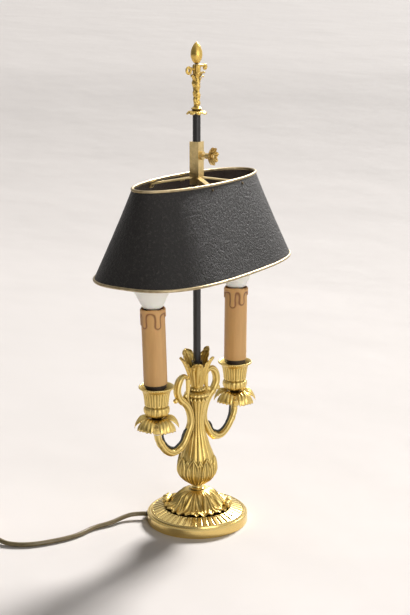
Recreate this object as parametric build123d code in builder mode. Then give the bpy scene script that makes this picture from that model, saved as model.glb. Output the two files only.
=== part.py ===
"""Two-light bouillotte lamp: gilt stem and scroll arms, candle lamps, and an oval shade that slides on a rod.

Millimetres. +Z is up, the arms lie along X, and the origin is the middle of the felt pad's underside.
"""

import os
from math import atan2, copysign, cos, degrees, pi, radians, sin, sqrt, tan

from build123d import *

os.makedirs("parts", exist_ok=True)

# ---------------------------------------------------------------- clearances
running_gap = 0.05  # radial, a shaft or thread that turns in its bore
seat_gap = 0.3  # between curved faces that only lie close together
thread_gap = 0.02  # radial, fixed threads and shanks
overshoot = 5.0  # how far a cutting tool runs past the face that it cuts

# ---------------------------------------------------------------- base
base_radius = 58.0
skirt_wall = 3.6
skirt_top = 11.3
skirt_bevel = 1.4
felt_thickness = 1.5
felt_proud = 0.4
felt_inset = 0.4
fillet_ring_radius = 55.4
fillet_ring_top = 12.8
fillet_ring_bevel = 0.8
fillet_ring_width = 1.8
ring_groove_width = 0.5
ring_groove_drop = 0.7
web_corner = 1.5
skirt_corner_drop = 2.2
flute_outer_radius = 52.4
flute_outer_z = 12.9
web_radius = 39.0
web_top = 17.6
web_thickness = 3.0
flute_count = 44
flute_radius = 1.75
flute_depth = 1.15
weight_thickness = 7.5
weight_hub_radius = 16.0
weight_edge_gap = 2.0
cord_groove_gap = 0.5
nut_recess_radius = 12.0
nut_recess_depth = 6.0
washer_radius = 10.0
washer_thickness = 1.2
nut_across_flats = 15.0
nut_height = 4.0

tube_radius = 5.0
tube_bore = 3.6

# ---------------------------------------------------------------- mound
mound_height = 20.4
mound_top_radius = 9.5
mound_shoulder_radius = 22.0
mound_lip_radius = 38.0
mound_wall = 2.6
mound_shoulder_share = 0.72  # of the mound's height
mound_waist_radius = 27.4
mound_waist_rise = 7.9
mound_lip_rise = 2.0
mound_lip_bevel = 0.8
mound_seat_width = 3.0
mound_seat_inset = 4.5
mound_leaf_count = 8
mound_leaf_turn = 31.5
leaf_groove_width = 1.3
leaf_groove_depth = 1.0
leaf_groove_end_rise = 0.9
leaf_roll_leaves = (2, 6)  # the two leaves whose tips roll up
leaf_roll_radius = 4.6
leaf_roll_length = 10.0
leaf_roll_reach = 34.0
leaf_roll_lift = 0.3

# ---------------------------------------------------------------- spool, stem, neck ring
spool_height = 7.0
spool_foot_radius = 8.0
spool_waist_radius = 5.8
spool_foot_height = 1.2
stem_height = 112.0
stem_foot_radius = 7.6
bulb_radius = 21.2
bulb_height = 20.5
waist_radius = 7.9
waist_height = 75.0
shoulder_radius = 14.3
shoulder_height = 108.5
stem_flute_count = 16
stem_flute_width = 1.6
stem_flute_depth = 0.9
lotus_count = 8
lotus_height = 34.0
lotus_width = 12.6
lotus_relief = 1.1
wire_exit_height = 69.5
neck_ring_height = 3.8
neck_ring_radius = 10.2

# ---------------------------------------------------------------- leaf cup and rod coupler
cup_leaf_count = 5
cup_leaf_turn = 6.5
leaf_cup_foot_radius = 6.8
leaf_cup_height = 38.0
leaf_cup_mouth_radius = 18.0
leaf_cup_wall = 1.5
leaf_split_height = 17.0
coupler_radius = 6.2
coupler_height = 19.0
coupler_lift = 11.0

# ---------------------------------------------------------------- rod and finial
rod_radius = 4.3
rod_top_z = 466.5
rod_stud_radius = 2.0
rod_stud_length = 9.0
finial_skirt_height = 10.5
finial_skirt_radius = 11.2
finial_lobes = 8
finial_notch_radius = 2.2
finial_notch_reach = 12.0
finial_shaft_height = 43.0
finial_shaft_radius = 3.2
finial_ear_reach = 12.8
finial_ears = {-1: (4.8, 6.0), 1: (3.3, 3.0)}  # side along X: radius, and how far below the shaft's top
finial_ear_hole = 1.4
finial_leaf_reach = 11.0
finial_ear_thickness = 2.2
bud_height = 23.5
bud_radius = 5.8

# ---------------------------------------------------------------- arms
arm_reach = 66.5
arm_radius = 4.0
arm_seat_z = 131.0
bend_reach = 41.0
bend_drop = 27.0
loop_reach = 32.8
loop_rise = 43.0
tendril_radius = 2.0
knob_radius = 2.4
wire_radius = 1.2
wire_gap = 0.4
outer_knob_rise = 33.0

# ---------------------------------------------------------------- drip pans, candle cups
nipple_radius = 4.0
nipple_length = 34.0
pan_radius = 24.7
pan_hub_radius = 7.5
pan_hub_height = 8.5
pan_crown_radius = 13.0
pan_crown_rise = 10.0
pan_droop = 1.6
pan_wall = 1.4
pan_leaf_count = 5
pan_notch_turn = 6.0
pan_notch_radius = 5.2
pan_notch_depth = 3.4
cup_height = 35.0
cup_foot_radius = 8.5
cup_bulge_radius = 13.7
cup_body_radius = 14.9
cup_lip_radius = 19.8
cup_floor = 4.0
cup_flute_count = 16
cup_flute_radius = 0.9
cup_flute_length = 13.0
cup_flute_middle = 19.5
cup_flute_lean = 3.5
cup_neck_radius = 5.5

# ---------------------------------------------------------------- candle holders, sleeves, bulbs
candle_lean = {"left": 2.2, "right": 0.6}
holder_foot_radius = 9.0
holder_foot_height = 29.0
holder_skirt_radius = 12.0
holder_flange_radius = 12.9
holder_flange_z = 33.0
holder_flange_thickness = 1.0
holder_body_radius = 11.7
holder_height = 116.0
contact_shell_inner = 7.05
contact_shell_wall = 0.5
contact_shell_height = 24.0
contact_pin_radius = 2.5
contact_pin_height = 1.7
sleeve_radius = 13.0
sleeve_wall = 0.8
sleeve_top = 120.5
drip_collar_relief = 0.9
drip_collar_height = 5.0
drip_width = 3.6
drip_lengths = (14.0, 9.0, 17.0, 8.0, 12.0, 16.0, 7.0)
cap_height = 24.0
glass_radius = 22.5
glass_wall = 0.8
glass_centre_height = 31.0
glass_neck_radius = 11.4
glass_neck_rise = 3.0
glass_shoulder_angle = 30.0  # below the widest ring

# ---------------------------------------------------------------- shade and its slide
shade_turn = 10.0
shade_bottom_z = 302.0
shade_top_z = 396.6
shade_bottom_half_length = 143.0
shade_bottom_half_width = 74.0
shade_bottom_power = 2.8
shade_top_half_length = 109.0
shade_top_half_width = 38.8
shade_top_power = 2.1
shade_sheet = 0.8
rim_radius = 1.6
oval_steps = 48
block_side = 11.3
block_bottom_z = 391.0
block_top_z = 438.0
boss_radius = 4.6
boss_length = 3.0
screw_z = 423.0
screw_radius = 1.5
knob_reach = 20.2
knob_plate_radius = 6.9
knob_petal_radius = 2.7
knob_petals = 8
knob_thickness = 2.8
knob_button_radius = 2.8
knob_button_height = 1.4
collar_radius = 3.2
collar_length = 4.0
bar_width = 6.0
bar_thickness = 1.6
bar_root_z = 399.0
bar_tip_z = 393.1
rivet_angle = 75.0  # round the oval, from its long axis
rivet_z = 391.9
rivet_radius = 1.0
rivet_head_radius = 1.7
rivet_head_height = 0.9
rivet_tail_height = 0.6
tab_width = 7.5
tab_height = 5.6
tab_thickness = 1.4

# ---------------------------------------------------------------- cord, switch, plug
cord_radius = 2.6
cord_exit_azimuth = 131.5
cord_exit_z = 6.2
gland_radius = 3.7
gland_proud = 0.8
gland_depth = 0.6  # past the skirt's inner face
gland_round = 0.5
coil_centre = (-187.2, 250.0)
coil_mid_radius = 31.0
coil_turns_across = 3
coil_turns_up = 3
switch_centre = (-176.8, 176.8)
switch_azimuth = 66.5
switch_length = 56.0
switch_width = 24.0
switch_height = 15.0
switch_split = 7.0
switch_corner = 7.0
nose_length = 9.0
nose_root_radius = 5.8
nose_tip_radius = 3.8
rocker_length = 17.0
rocker_width = 9.0
rocker_pivot_z = 10.0
rocker_rise = 6.6
rocker_dish = 1.6
rocker_drop = 3.6
rocker_tilt = 8.0
rocker_gap = 0.4
trunnion_radius = 1.3
trunnion_length = 1.2
switch_screw_reach = 20.0
switch_screw_radius = 1.2
switch_screw_head_radius = 2.3
switch_screw_head_height = 1.2
switch_screw_depth = 12.0
plug_azimuth = -97.0
plug_tail_start = (-229.0, 201.5)
plug_tail_length = 22.0
plug_tail_radius = 3.4
plug_tail_root_radius = 5.6
plug_width = 26.0
plug_thickness = 14.0
plug_length = 30.0
plug_corner = 4.0
pin_radius = 2.0
pin_length = 19.0
pin_depth = 6.0
pin_pitch = 19.0

exit_run = 14.0
switch_run = 10.0
plug_run = 10.0
# Where the cord lies on the table between the bush and the switch: x, y and the height of its middle.
lead_bends = [
    (-60.5, 59.6, 5.0),
    (-79.3, 60.3, 3.4),
    (-101.0, 68.0, 2.6),
    (-128.5, 65.0, 2.6),
    (-153.0, 72.0, 2.6),
    (-180.0, 85.0, 2.6),
    (-195.0, 104.0, 2.6),
    (-197.6, 119.8, 4.2),
]
# Between the switch and the coil, ending inside the coil's lowest turn.
mid_bends = [
    (-151.7, 235.0, 3.6),
    (-151.0, 248.0, 2.6),
]
# Between the coil's top turn, where it starts, and the plug's tail.
tail_bends = [
    (-223.3, 254.0, 13.0),
    (-224.4, 238.2, 12.6),
    (-226.0, 224.3, 9.8),
]


# ================================================================ helpers
def oval_point(half_length, half_width, power, angle):
    """A point of the rounded oval |x/a|^n + |y/b|^n = 1, by its angle from the long axis."""
    c = cos(radians(angle))
    s = sin(radians(angle))
    x = half_length * copysign(abs(c) ** (2 / power), c)
    y = half_width * copysign(abs(s) ** (2 / power), s)
    return x, y


def bottom_oval(grow=0.0):
    """Points round the shade's lower edge, moved out by grow."""
    length = shade_bottom_half_length + grow
    width = shade_bottom_half_width + grow
    return [oval_point(length, width, shade_bottom_power, 360 * i / oval_steps) for i in range(oval_steps)]


def top_oval(grow=0.0):
    """Points round the shade's upper edge, moved out by grow."""
    length = shade_top_half_length + grow
    width = shade_top_half_width + grow
    return [oval_point(length, width, shade_top_power, 360 * i / oval_steps) for i in range(oval_steps)]


def wall_point(angle, z):
    """A point of the shade's outer face at height z, in the lamp's frame."""
    low = oval_point(shade_bottom_half_length, shade_bottom_half_width, shade_bottom_power, angle)
    high = oval_point(shade_top_half_length, shade_top_half_width, shade_top_power, angle)
    share = (z - shade_bottom_z) / (shade_top_z - shade_bottom_z)
    point = Vector(low[0] + share * (high[0] - low[0]), low[1] + share * (high[1] - low[1]), z)
    return point.rotate(Axis.Z, shade_turn)


def wall_plane(angle, z):
    """The plane that touches the shade's outer face at a point, with its normal outward."""
    along = wall_point(angle + 1, z) - wall_point(angle - 1, z)
    up = wall_point(angle, shade_top_z) - wall_point(angle, shade_bottom_z)
    return Plane(wall_point(angle, z), x_dir=along, z_dir=along.cross(up))


def heading(azimuth):
    """The level direction at an azimuth from +X."""
    return Vector(1, 0, 0).rotate(Axis.Z, azimuth)


def bend_radii(points, share=0.45):
    """The largest even radius for each corner of a route: share of its shorter run over tan(half the turn)."""
    places = [Vector(*point) for point in points]
    radii = []
    for before, here, after in zip(places, places[1:], places[2:]):
        turn = radians((here - before).get_angle(after - here))
        shorter = min((here - before).length, (after - here).length)
        radii.append(share * shorter / tan(turn / 2))
    return radii


def beside(route, lift):
    """Points beside the inner corners of a route of (x, z), on its right-hand side and lift away from it."""
    places = [Vector(x, 0, z) for x, z in route]
    points = []
    for before, here, after in zip(places, places[1:], places[2:]):
        first = Vector(0, 1, 0).cross((here - before).normalized())
        second = Vector(0, 1, 0).cross((after - here).normalized())
        corner = here + (first + second) * (lift / (1 + first.dot(second)))
        points.append((corner.X, corner.Z))
    return points


def slope(rise, run):
    """The angle of a straight slope, in degrees."""
    return degrees(atan2(rise, run))


# ================================================================ heights that follow from the sizes
weight_bottom = felt_thickness
weight_top = weight_bottom + weight_thickness
web_bottom = web_top - web_thickness
recess_top = weight_bottom + nut_recess_depth
washer_bottom = recess_top - washer_thickness
nut_bottom = washer_bottom - nut_height
mound_foot = web_top
mound_top = mound_foot + mound_height
spool_top = mound_top + spool_height
stem_bottom = spool_top
stem_top = stem_bottom + stem_height
waist_z = stem_bottom + waist_height
shoulder_z = stem_bottom + shoulder_height
wire_exit_z = stem_bottom + wire_exit_height
neck_ring_top = stem_top + neck_ring_height
leaf_cup_bottom = neck_ring_top
leaf_cup_top = leaf_cup_bottom + leaf_cup_height
coupler_bottom = leaf_cup_bottom + coupler_lift
coupler_top = coupler_bottom + coupler_height
tube_top = coupler_bottom + coupler_height / 2
tube_hole = tube_radius + thread_gap
felt_radius = base_radius - skirt_wall - felt_inset
skirt_inner = base_radius - skirt_wall

# ================================================================ base
flute_drop = slope(web_top - flute_outer_z, flute_outer_radius - web_radius)
flute_middle_radius = (flute_outer_radius + web_radius) / 2
flute_middle_z = (web_top + flute_outer_z) / 2
flute_run = (flute_outer_radius - web_radius) / cos(radians(flute_drop)) - 2 * flute_radius
exit_direction = heading(cord_exit_azimuth)

with BuildPart() as base_plinth:
    with BuildSketch(Plane.XZ):
        with BuildLine():
            Polyline(
                (base_radius, felt_proud),
                (base_radius, skirt_top - skirt_bevel),
                (base_radius - skirt_bevel, skirt_top),
                (fillet_ring_radius, skirt_top),
                (fillet_ring_radius - fillet_ring_bevel, fillet_ring_top),
                (fillet_ring_radius - fillet_ring_width, fillet_ring_top),
                (flute_outer_radius + ring_groove_width, flute_outer_z - ring_groove_drop),
                (flute_outer_radius, flute_outer_z),
                (web_radius, web_top),
                (tube_hole, web_top),
                (tube_hole, web_bottom),
                (web_radius - web_corner, web_bottom),
                (skirt_inner, skirt_top - skirt_corner_drop),
                (skirt_inner, felt_proud),
                close=True,
            )
        make_face()
    revolve(axis=Axis.Z)
    with PolarLocations(flute_middle_radius, flute_count):
        with Locations(Location((0, 0, flute_middle_z + flute_radius - flute_depth), (0, flute_drop, 0))):
            Cylinder(flute_radius, flute_run, rotation=(0, 90, 0), mode=Mode.SUBTRACT)
            with Locations((flute_run / 2, 0, 0), (-flute_run / 2, 0, 0)):
                Sphere(flute_radius, mode=Mode.SUBTRACT)
    with BuildSketch(Plane((0, 0, cord_exit_z), z_dir=exit_direction)):
        Circle(gland_radius + thread_gap)
    extrude(amount=base_radius + overshoot, mode=Mode.SUBTRACT)
base_plinth.part.label = "base_plinth"
export_step(base_plinth.part, "parts/base_plinth.step")

with BuildPart() as base_felt:
    with BuildSketch():
        Circle(felt_radius)
    extrude(amount=felt_thickness)
base_felt.part.label = "base_felt"
export_step(base_felt.part, "parts/base_felt.step")

cord_groove = gland_radius + cord_groove_gap
with BuildPart() as base_weight:
    with BuildSketch(Plane.XY.offset(weight_bottom)):
        Circle(skirt_inner - weight_edge_gap)
    extrude(amount=weight_thickness)
    with BuildSketch(Plane.XY.offset(weight_top)):
        Circle(weight_hub_radius)
    extrude(amount=web_bottom - weight_top)
    with BuildSketch(Plane.XY.offset(weight_bottom)):
        Circle(nut_recess_radius)
    extrude(amount=nut_recess_depth, mode=Mode.SUBTRACT)
    with BuildSketch(Plane.XY.offset(weight_bottom)):
        Circle(tube_hole)
    extrude(amount=web_bottom, mode=Mode.SUBTRACT)
    with BuildSketch(Plane((0, 0, weight_bottom), x_dir=exit_direction, z_dir=(0, 0, 1))):
        with Locations((base_radius / 2, 0)):
            Rectangle(base_radius, 2 * cord_groove)
    extrude(amount=weight_thickness, mode=Mode.SUBTRACT)
base_weight.part.label = "base_weight"
export_step(base_weight.part, "parts/base_weight.step")

with BuildPart() as base_washer:
    with BuildSketch(Plane.XY.offset(washer_bottom)):
        Circle(washer_radius)
        Circle(tube_hole, mode=Mode.SUBTRACT)
    extrude(amount=washer_thickness)
base_washer.part.label = "base_washer"
export_step(base_washer.part, "parts/base_washer.step")

with BuildPart() as base_nut:
    with BuildSketch(Plane.XY.offset(nut_bottom)):
        RegularPolygon(nut_across_flats / 2, 6, major_radius=False)
        Circle(tube_hole, mode=Mode.SUBTRACT)
    extrude(amount=nut_height)
base_nut.part.label = "base_nut"
export_step(base_nut.part, "parts/base_nut.step")

with BuildPart() as tie_tube:
    with BuildSketch(Plane.XY.offset(nut_bottom)):
        Circle(tube_radius)
        Circle(tube_bore, mode=Mode.SUBTRACT)
    extrude(amount=tube_top - nut_bottom)
    with BuildSketch(Plane((0, 0, wire_exit_z), z_dir=(1, 0, 0))):
        Circle(wire_radius + seat_gap)
    extrude(amount=tube_radius + overshoot, both=True, mode=Mode.SUBTRACT)
tie_tube.part.label = "tie_tube"
export_step(tie_tube.part, "parts/tie_tube.step")

with BuildPart() as cord_gland:
    with BuildSketch(Plane(exit_direction * (base_radius + gland_proud) + Vector(0, 0, cord_exit_z),
                           z_dir=exit_direction)):
        Circle(gland_radius)
    extrude(amount=-(skirt_wall + gland_proud + gland_depth))
    fillet(cord_gland.faces().sort_by(Axis(Vector(0, 0, 0), exit_direction))[-1].edges(), gland_round)
cord_gland.part.label = "cord_gland"
export_step(cord_gland.part, "parts/cord_gland.step")

# ================================================================ mound of acanthus leaves
mound_shoulder_z = mound_foot + mound_shoulder_share * mound_height
leaf_groove_start = mound_top_radius + 2.5
leaf_groove_end_z = mound_foot + leaf_groove_end_rise
mound_seat_radius = mound_lip_radius - mound_seat_inset
with BuildPart() as leaf_groove:
    with BuildSketch(Plane.XZ):
        with BuildLine():
            Spline(
                (leaf_groove_start, mound_top - leaf_groove_depth),
                (mound_shoulder_radius - leaf_groove_depth, mound_shoulder_z - leaf_groove_depth),
                (mound_waist_radius - leaf_groove_depth, mound_foot + mound_waist_rise - mound_lip_bevel),
                (mound_lip_radius - leaf_groove_depth, leaf_groove_end_z),
            )
            Polyline(
                (mound_lip_radius - leaf_groove_depth, leaf_groove_end_z),
                (mound_lip_radius + overshoot, leaf_groove_end_z),
                (mound_lip_radius + overshoot, mound_top + overshoot),
                (leaf_groove_start, mound_top + overshoot),
                (leaf_groove_start, mound_top - leaf_groove_depth),
            )
        make_face()
    extrude(amount=leaf_groove_width / 2, both=True)

with BuildPart() as base_mound:
    with BuildSketch(Plane.XZ):
        with BuildLine():
            Line((tube_hole, mound_top), (mound_top_radius, mound_top))
            Spline(
                (mound_top_radius, mound_top),
                (mound_shoulder_radius, mound_shoulder_z),
                (mound_waist_radius, mound_foot + mound_waist_rise),
                (mound_lip_radius, mound_foot + mound_lip_rise),
                tangents=((1, -0.1), (1, -0.15)),
            )
            Polyline(
                (mound_lip_radius, mound_foot + mound_lip_rise),
                (mound_lip_radius - mound_lip_bevel, mound_foot + mound_lip_bevel),
                (mound_seat_radius, mound_foot + mound_lip_bevel),
                (mound_seat_radius, mound_foot),
                (mound_seat_radius - mound_seat_width, mound_foot),
                (mound_waist_radius - 1.6 * mound_wall, mound_foot + mound_waist_rise - 0.5),
                (mound_shoulder_radius - 1.4 * mound_wall, mound_shoulder_z - 0.8 * mound_wall),
                (mound_top_radius, mound_top - mound_wall),
                (tube_hole, mound_top - mound_wall),
                (tube_hole, mound_top),
            )
        make_face()
    revolve(axis=Axis.Z)
    with PolarLocations(0, mound_leaf_count, start_angle=mound_leaf_turn + 180 / mound_leaf_count):
        add(leaf_groove.part, mode=Mode.SUBTRACT)
    for leaf in leaf_roll_leaves:
        roll_azimuth = mound_leaf_turn + leaf * 360 / mound_leaf_count
        with PolarLocations(leaf_roll_reach, 1, start_angle=roll_azimuth):
            with Locations((0, 0, mound_foot + leaf_roll_radius + leaf_roll_lift)):
                Cylinder(leaf_roll_radius, leaf_roll_length, rotation=(90, 0, 0))
base_mound.part.label = "base_mound"
export_step(base_mound.part, "parts/base_mound.step")

# ================================================================ spool, stem and neck ring
with BuildPart() as stem_spool:
    with BuildSketch(Plane.XZ):
        with BuildLine():
            Polyline(
                (tube_hole, spool_top),
                (tube_hole, mound_top),
                (spool_foot_radius, mound_top),
                (spool_foot_radius, mound_top + spool_foot_height),
            )
            ThreePointArc(
                (spool_foot_radius, mound_top + spool_foot_height),
                (spool_waist_radius, mound_top + spool_height / 2),
                (stem_foot_radius, spool_top),
            )
            Line((stem_foot_radius, spool_top), (tube_hole, spool_top))
        make_face()
    revolve(axis=Axis.Z)
stem_spool.part.label = "stem_spool"
export_step(stem_spool.part, "parts/stem_spool.step")


def stem_profile(sink=0.0):
    """Points up the outside of the stem to its shoulder, moved in by sink."""
    return [
        (stem_foot_radius - sink, stem_bottom),
        (0.72 * bulb_radius - sink, stem_bottom + 0.29 * bulb_height),
        (bulb_radius - sink, stem_bottom + bulb_height),
        (0.88 * bulb_radius - sink, stem_bottom + 1.7 * bulb_height),
        (0.57 * bulb_radius - sink, stem_bottom + 0.72 * waist_height),
        (waist_radius - sink, waist_z),
        ((waist_radius + shoulder_radius) / 2 - 0.7 - sink, (waist_z + shoulder_z) / 2 + 2.0),
        (shoulder_radius - sink, shoulder_z),
    ]


def stem_section(sink=0.0):
    """Draws the closed half section of the stem inside a BuildLine."""
    points = stem_profile(sink)
    Spline(*points)
    Polyline(points[-1], (neck_ring_radius - 1.5 - sink, stem_top), (0, stem_top), (0, stem_bottom), points[0])


# The stem's plain outside without flutes, which the arms lie against.
with BuildPart() as stem_envelope:
    with BuildSketch(Plane.XZ):
        with BuildLine():
            stem_section()
        make_face()
    revolve(axis=Axis.Z)

flute_bottom_z = stem_bottom + lotus_height - 2.0
flute_top_z = shoulder_z - 2.0
with BuildPart() as stem_flute:
    with BuildSketch(Plane.XZ):
        with Locations((bulb_radius, (flute_bottom_z + flute_top_z) / 2)):
            Rectangle(2 * bulb_radius, flute_top_z - flute_bottom_z)
        with BuildLine():
            stem_section(stem_flute_depth)
        make_face(mode=Mode.SUBTRACT)
    extrude(amount=stem_flute_width / 2, both=True)

with BuildPart() as lotus_petal:
    with BuildSketch(Plane.XZ):
        with BuildLine():
            stem_section(-lotus_relief)
        make_face()
    revolve(axis=Axis.Z)
    with BuildSketch(Plane((0, 0, stem_bottom), x_dir=(0, 1, 0), z_dir=(1, 0, 0))):
        with BuildLine():
            Spline(
                (0, lotus_height),
                (lotus_width * 0.36, lotus_height * 0.86),
                (lotus_width * 0.5, lotus_height * 0.55),
                (lotus_width * 0.36, lotus_height * 0.2),
                (lotus_width * 0.2, 0.2),
            )
            Line((lotus_width * 0.2, 0.2), (0, 0.2))
            mirror(about=Plane.YZ)
        make_face()
    extrude(amount=bulb_radius + overshoot, mode=Mode.INTERSECT)

with BuildPart() as stem:
    add(stem_envelope.part)
    with PolarLocations(0, stem_flute_count, start_angle=180 / stem_flute_count):
        add(stem_flute.part, mode=Mode.SUBTRACT)
    with PolarLocations(0, lotus_count, start_angle=180 / lotus_count):
        add(lotus_petal.part)
    with BuildSketch(Plane.XY.offset(stem_bottom)):
        Circle(tube_hole)
    extrude(amount=stem_height, mode=Mode.SUBTRACT)
    with BuildSketch(Plane((0, 0, wire_exit_z), z_dir=(1, 0, 0))):
        Circle(wire_radius + seat_gap)
    extrude(amount=bulb_radius, both=True, mode=Mode.SUBTRACT)
stem.part.label = "stem"
export_step(stem.part, "parts/stem.step")

with BuildPart() as neck_ring:
    with BuildSketch(Plane.XZ):
        with BuildLine():
            Polyline(
                (leaf_cup_foot_radius, neck_ring_top),
                (tube_hole, neck_ring_top),
                (tube_hole, stem_top),
                (neck_ring_radius - 1.5, stem_top),
            )
            ThreePointArc(
                (neck_ring_radius - 1.5, stem_top),
                (neck_ring_radius, stem_top + neck_ring_height * 0.35),
                (neck_ring_radius - 1.2, stem_top + neck_ring_height * 0.7),
            )
            Line((neck_ring_radius - 1.2, stem_top + neck_ring_height * 0.7), (leaf_cup_foot_radius, neck_ring_top))
        make_face()
    revolve(axis=Axis.Z)
neck_ring.part.label = "neck_ring"
export_step(neck_ring.part, "parts/neck_ring.step")

# ================================================================ leaf cup, coupler, rod
with BuildPart() as leaf_split:
    with BuildSketch(Plane((0, 0, leaf_cup_bottom), x_dir=(0, 1, 0), z_dir=(1, 0, 0))):
        with BuildLine():
            Spline(
                (0, leaf_split_height),
                (leaf_cup_mouth_radius * 0.22, leaf_split_height + 9),
                (leaf_cup_mouth_radius * 0.62, leaf_cup_height + 1),
            )
            Line(
                (leaf_cup_mouth_radius * 0.62, leaf_cup_height + 1),
                (0, leaf_cup_height + 1),
            )
            mirror(about=Plane.YZ)
        make_face()
    extrude(amount=leaf_cup_mouth_radius + overshoot)


def leaf_cup_section(sink=0.0):
    """Draws the closed half section of the leaf cup inside a BuildLine, moved in by sink."""
    points = [
        (leaf_cup_foot_radius - sink, leaf_cup_bottom),
        (leaf_cup_foot_radius + 1.4 - sink, leaf_cup_bottom + 0.13 * leaf_cup_height),
        (coupler_radius + 4.2 - sink, leaf_cup_bottom + 0.4 * leaf_cup_height),
        (0.78 * leaf_cup_mouth_radius - sink, leaf_cup_bottom + 0.74 * leaf_cup_height),
        (leaf_cup_mouth_radius - sink, leaf_cup_top),
    ]
    Spline(*points)
    Polyline(points[-1], (0, leaf_cup_top), (0, leaf_cup_bottom), points[0])


with BuildPart() as leaf_cup:
    with BuildSketch(Plane.XZ):
        with BuildLine():
            leaf_cup_section()
        make_face()
    revolve(axis=Axis.Z)
    with BuildSketch(Plane.XZ):
        with BuildLine():
            leaf_cup_section(leaf_cup_wall)
        make_face()
        with Locations((0, leaf_cup_bottom)):
            Rectangle(4 * leaf_cup_mouth_radius, 2 * coupler_lift, mode=Mode.SUBTRACT)
    revolve(axis=Axis.Z, mode=Mode.SUBTRACT)
    with BuildSketch(Plane.XY.offset(leaf_cup_bottom)):
        Circle(tube_hole)
    extrude(amount=coupler_lift, mode=Mode.SUBTRACT)
    with PolarLocations(0, cup_leaf_count, start_angle=cup_leaf_turn + 180 / cup_leaf_count):
        add(leaf_split.part, mode=Mode.SUBTRACT)
leaf_cup.part.label = "leaf_cup"
export_step(leaf_cup.part, "parts/leaf_cup.step")

with BuildPart() as rod_coupler:
    with BuildSketch(Plane.XY.offset(coupler_bottom)):
        Circle(coupler_radius)
    extrude(amount=coupler_height)
    with BuildSketch(Plane.XY.offset(coupler_bottom)):
        Circle(tube_hole)
    extrude(amount=tube_top - coupler_bottom, mode=Mode.SUBTRACT)
    with BuildSketch(Plane.XY.offset(tube_top)):
        Circle(rod_radius + running_gap)
    extrude(amount=coupler_height, mode=Mode.SUBTRACT)
rod_coupler.part.label = "rod_coupler"
export_step(rod_coupler.part, "parts/rod_coupler.step")

rod_bottom_z = tube_top + seat_gap
with BuildPart() as rod:
    with BuildSketch(Plane.XY.offset(rod_bottom_z)):
        Circle(rod_radius)
    extrude(amount=rod_top_z - rod_bottom_z)
    with BuildSketch(Plane.XY.offset(rod_top_z)):
        Circle(rod_stud_radius)
    extrude(amount=rod_stud_length + finial_skirt_height)
rod.part.label = "rod"
export_step(rod.part, "parts/rod.step")

# ================================================================ finial
finial_shaft_bottom = rod_top_z + finial_skirt_height
finial_shaft_top = finial_shaft_bottom + finial_shaft_height
stud_hole = rod_stud_radius + running_gap

with BuildPart() as finial_skirt:
    with BuildSketch(Plane.XZ):
        with BuildLine():
            Polyline(
                (stud_hole, rod_top_z),
                (finial_skirt_radius - 1.5, rod_top_z),
                (finial_skirt_radius, rod_top_z + 1.4),
                (finial_skirt_radius - 3.5, rod_top_z + 3.4),
                (finial_shaft_radius + 1.6, rod_top_z + 6.0),
                (finial_shaft_radius + 0.6, finial_shaft_bottom),
                (stud_hole, finial_shaft_bottom),
                close=True,
            )
        make_face()
    revolve(axis=Axis.Z)
    with PolarLocations(finial_notch_reach, finial_lobes, start_angle=180 / finial_lobes):
        with Locations((0, 0, rod_top_z)):
            Cylinder(finial_notch_radius, 2 * overshoot, mode=Mode.SUBTRACT)
finial_skirt.part.label = "finial_skirt"
export_step(finial_skirt.part, "parts/finial_skirt.step")

with BuildPart() as finial_shaft:
    with BuildSketch(Plane.XZ):
        with BuildLine():
            Spline(
                (finial_shaft_radius, finial_shaft_bottom),
                (finial_shaft_radius + 0.5, finial_shaft_bottom + 9),
                (finial_shaft_radius - 0.1, finial_shaft_bottom + 19),
                (finial_shaft_radius + 2.3, finial_shaft_bottom + 25),
                (finial_shaft_radius - 0.3, finial_shaft_bottom + 33),
                (finial_shaft_radius, finial_shaft_top - 4),
                (finial_shaft_radius + 0.3, finial_shaft_top),
            )
            Polyline(
                (finial_shaft_radius + 0.3, finial_shaft_top),
                (0, finial_shaft_top),
                (0, finial_shaft_bottom),
                (finial_shaft_radius, finial_shaft_bottom),
            )
        make_face()
    revolve(axis=Axis.Z)
    with BuildSketch(Plane.XZ):
        for side, (ear_radius, ear_drop) in finial_ears.items():
            with Locations((side * finial_ear_reach, finial_shaft_top - ear_drop)):
                Circle(ear_radius)
            with Locations((side * finial_ear_reach / 2, finial_shaft_top - ear_drop)):
                Rectangle(finial_ear_reach, finial_ear_thickness)
            with BuildLine():
                Polyline(
                    (0, finial_shaft_bottom + 13),
                    (side * 0.6 * finial_leaf_reach, finial_shaft_bottom + 20),
                    (side * finial_leaf_reach, finial_shaft_bottom + 30),
                    (side * 0.4 * finial_leaf_reach, finial_shaft_bottom + 26),
                    (0, finial_shaft_bottom + 28),
                    close=True,
                )
            make_face()
    extrude(amount=finial_ear_thickness / 2, both=True)
    with BuildSketch(Plane.XZ):
        for side, (ear_radius, ear_drop) in finial_ears.items():
            with Locations((side * finial_ear_reach, finial_shaft_top - ear_drop)):
                Circle(finial_ear_hole)
    extrude(amount=overshoot, both=True, mode=Mode.SUBTRACT)
    with BuildSketch(Plane.XY.offset(finial_shaft_bottom)):
        Circle(stud_hole)
    extrude(amount=rod_stud_length + seat_gap, mode=Mode.SUBTRACT)
finial_shaft.part.label = "finial_shaft"
export_step(finial_shaft.part, "parts/finial_shaft.step")

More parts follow.
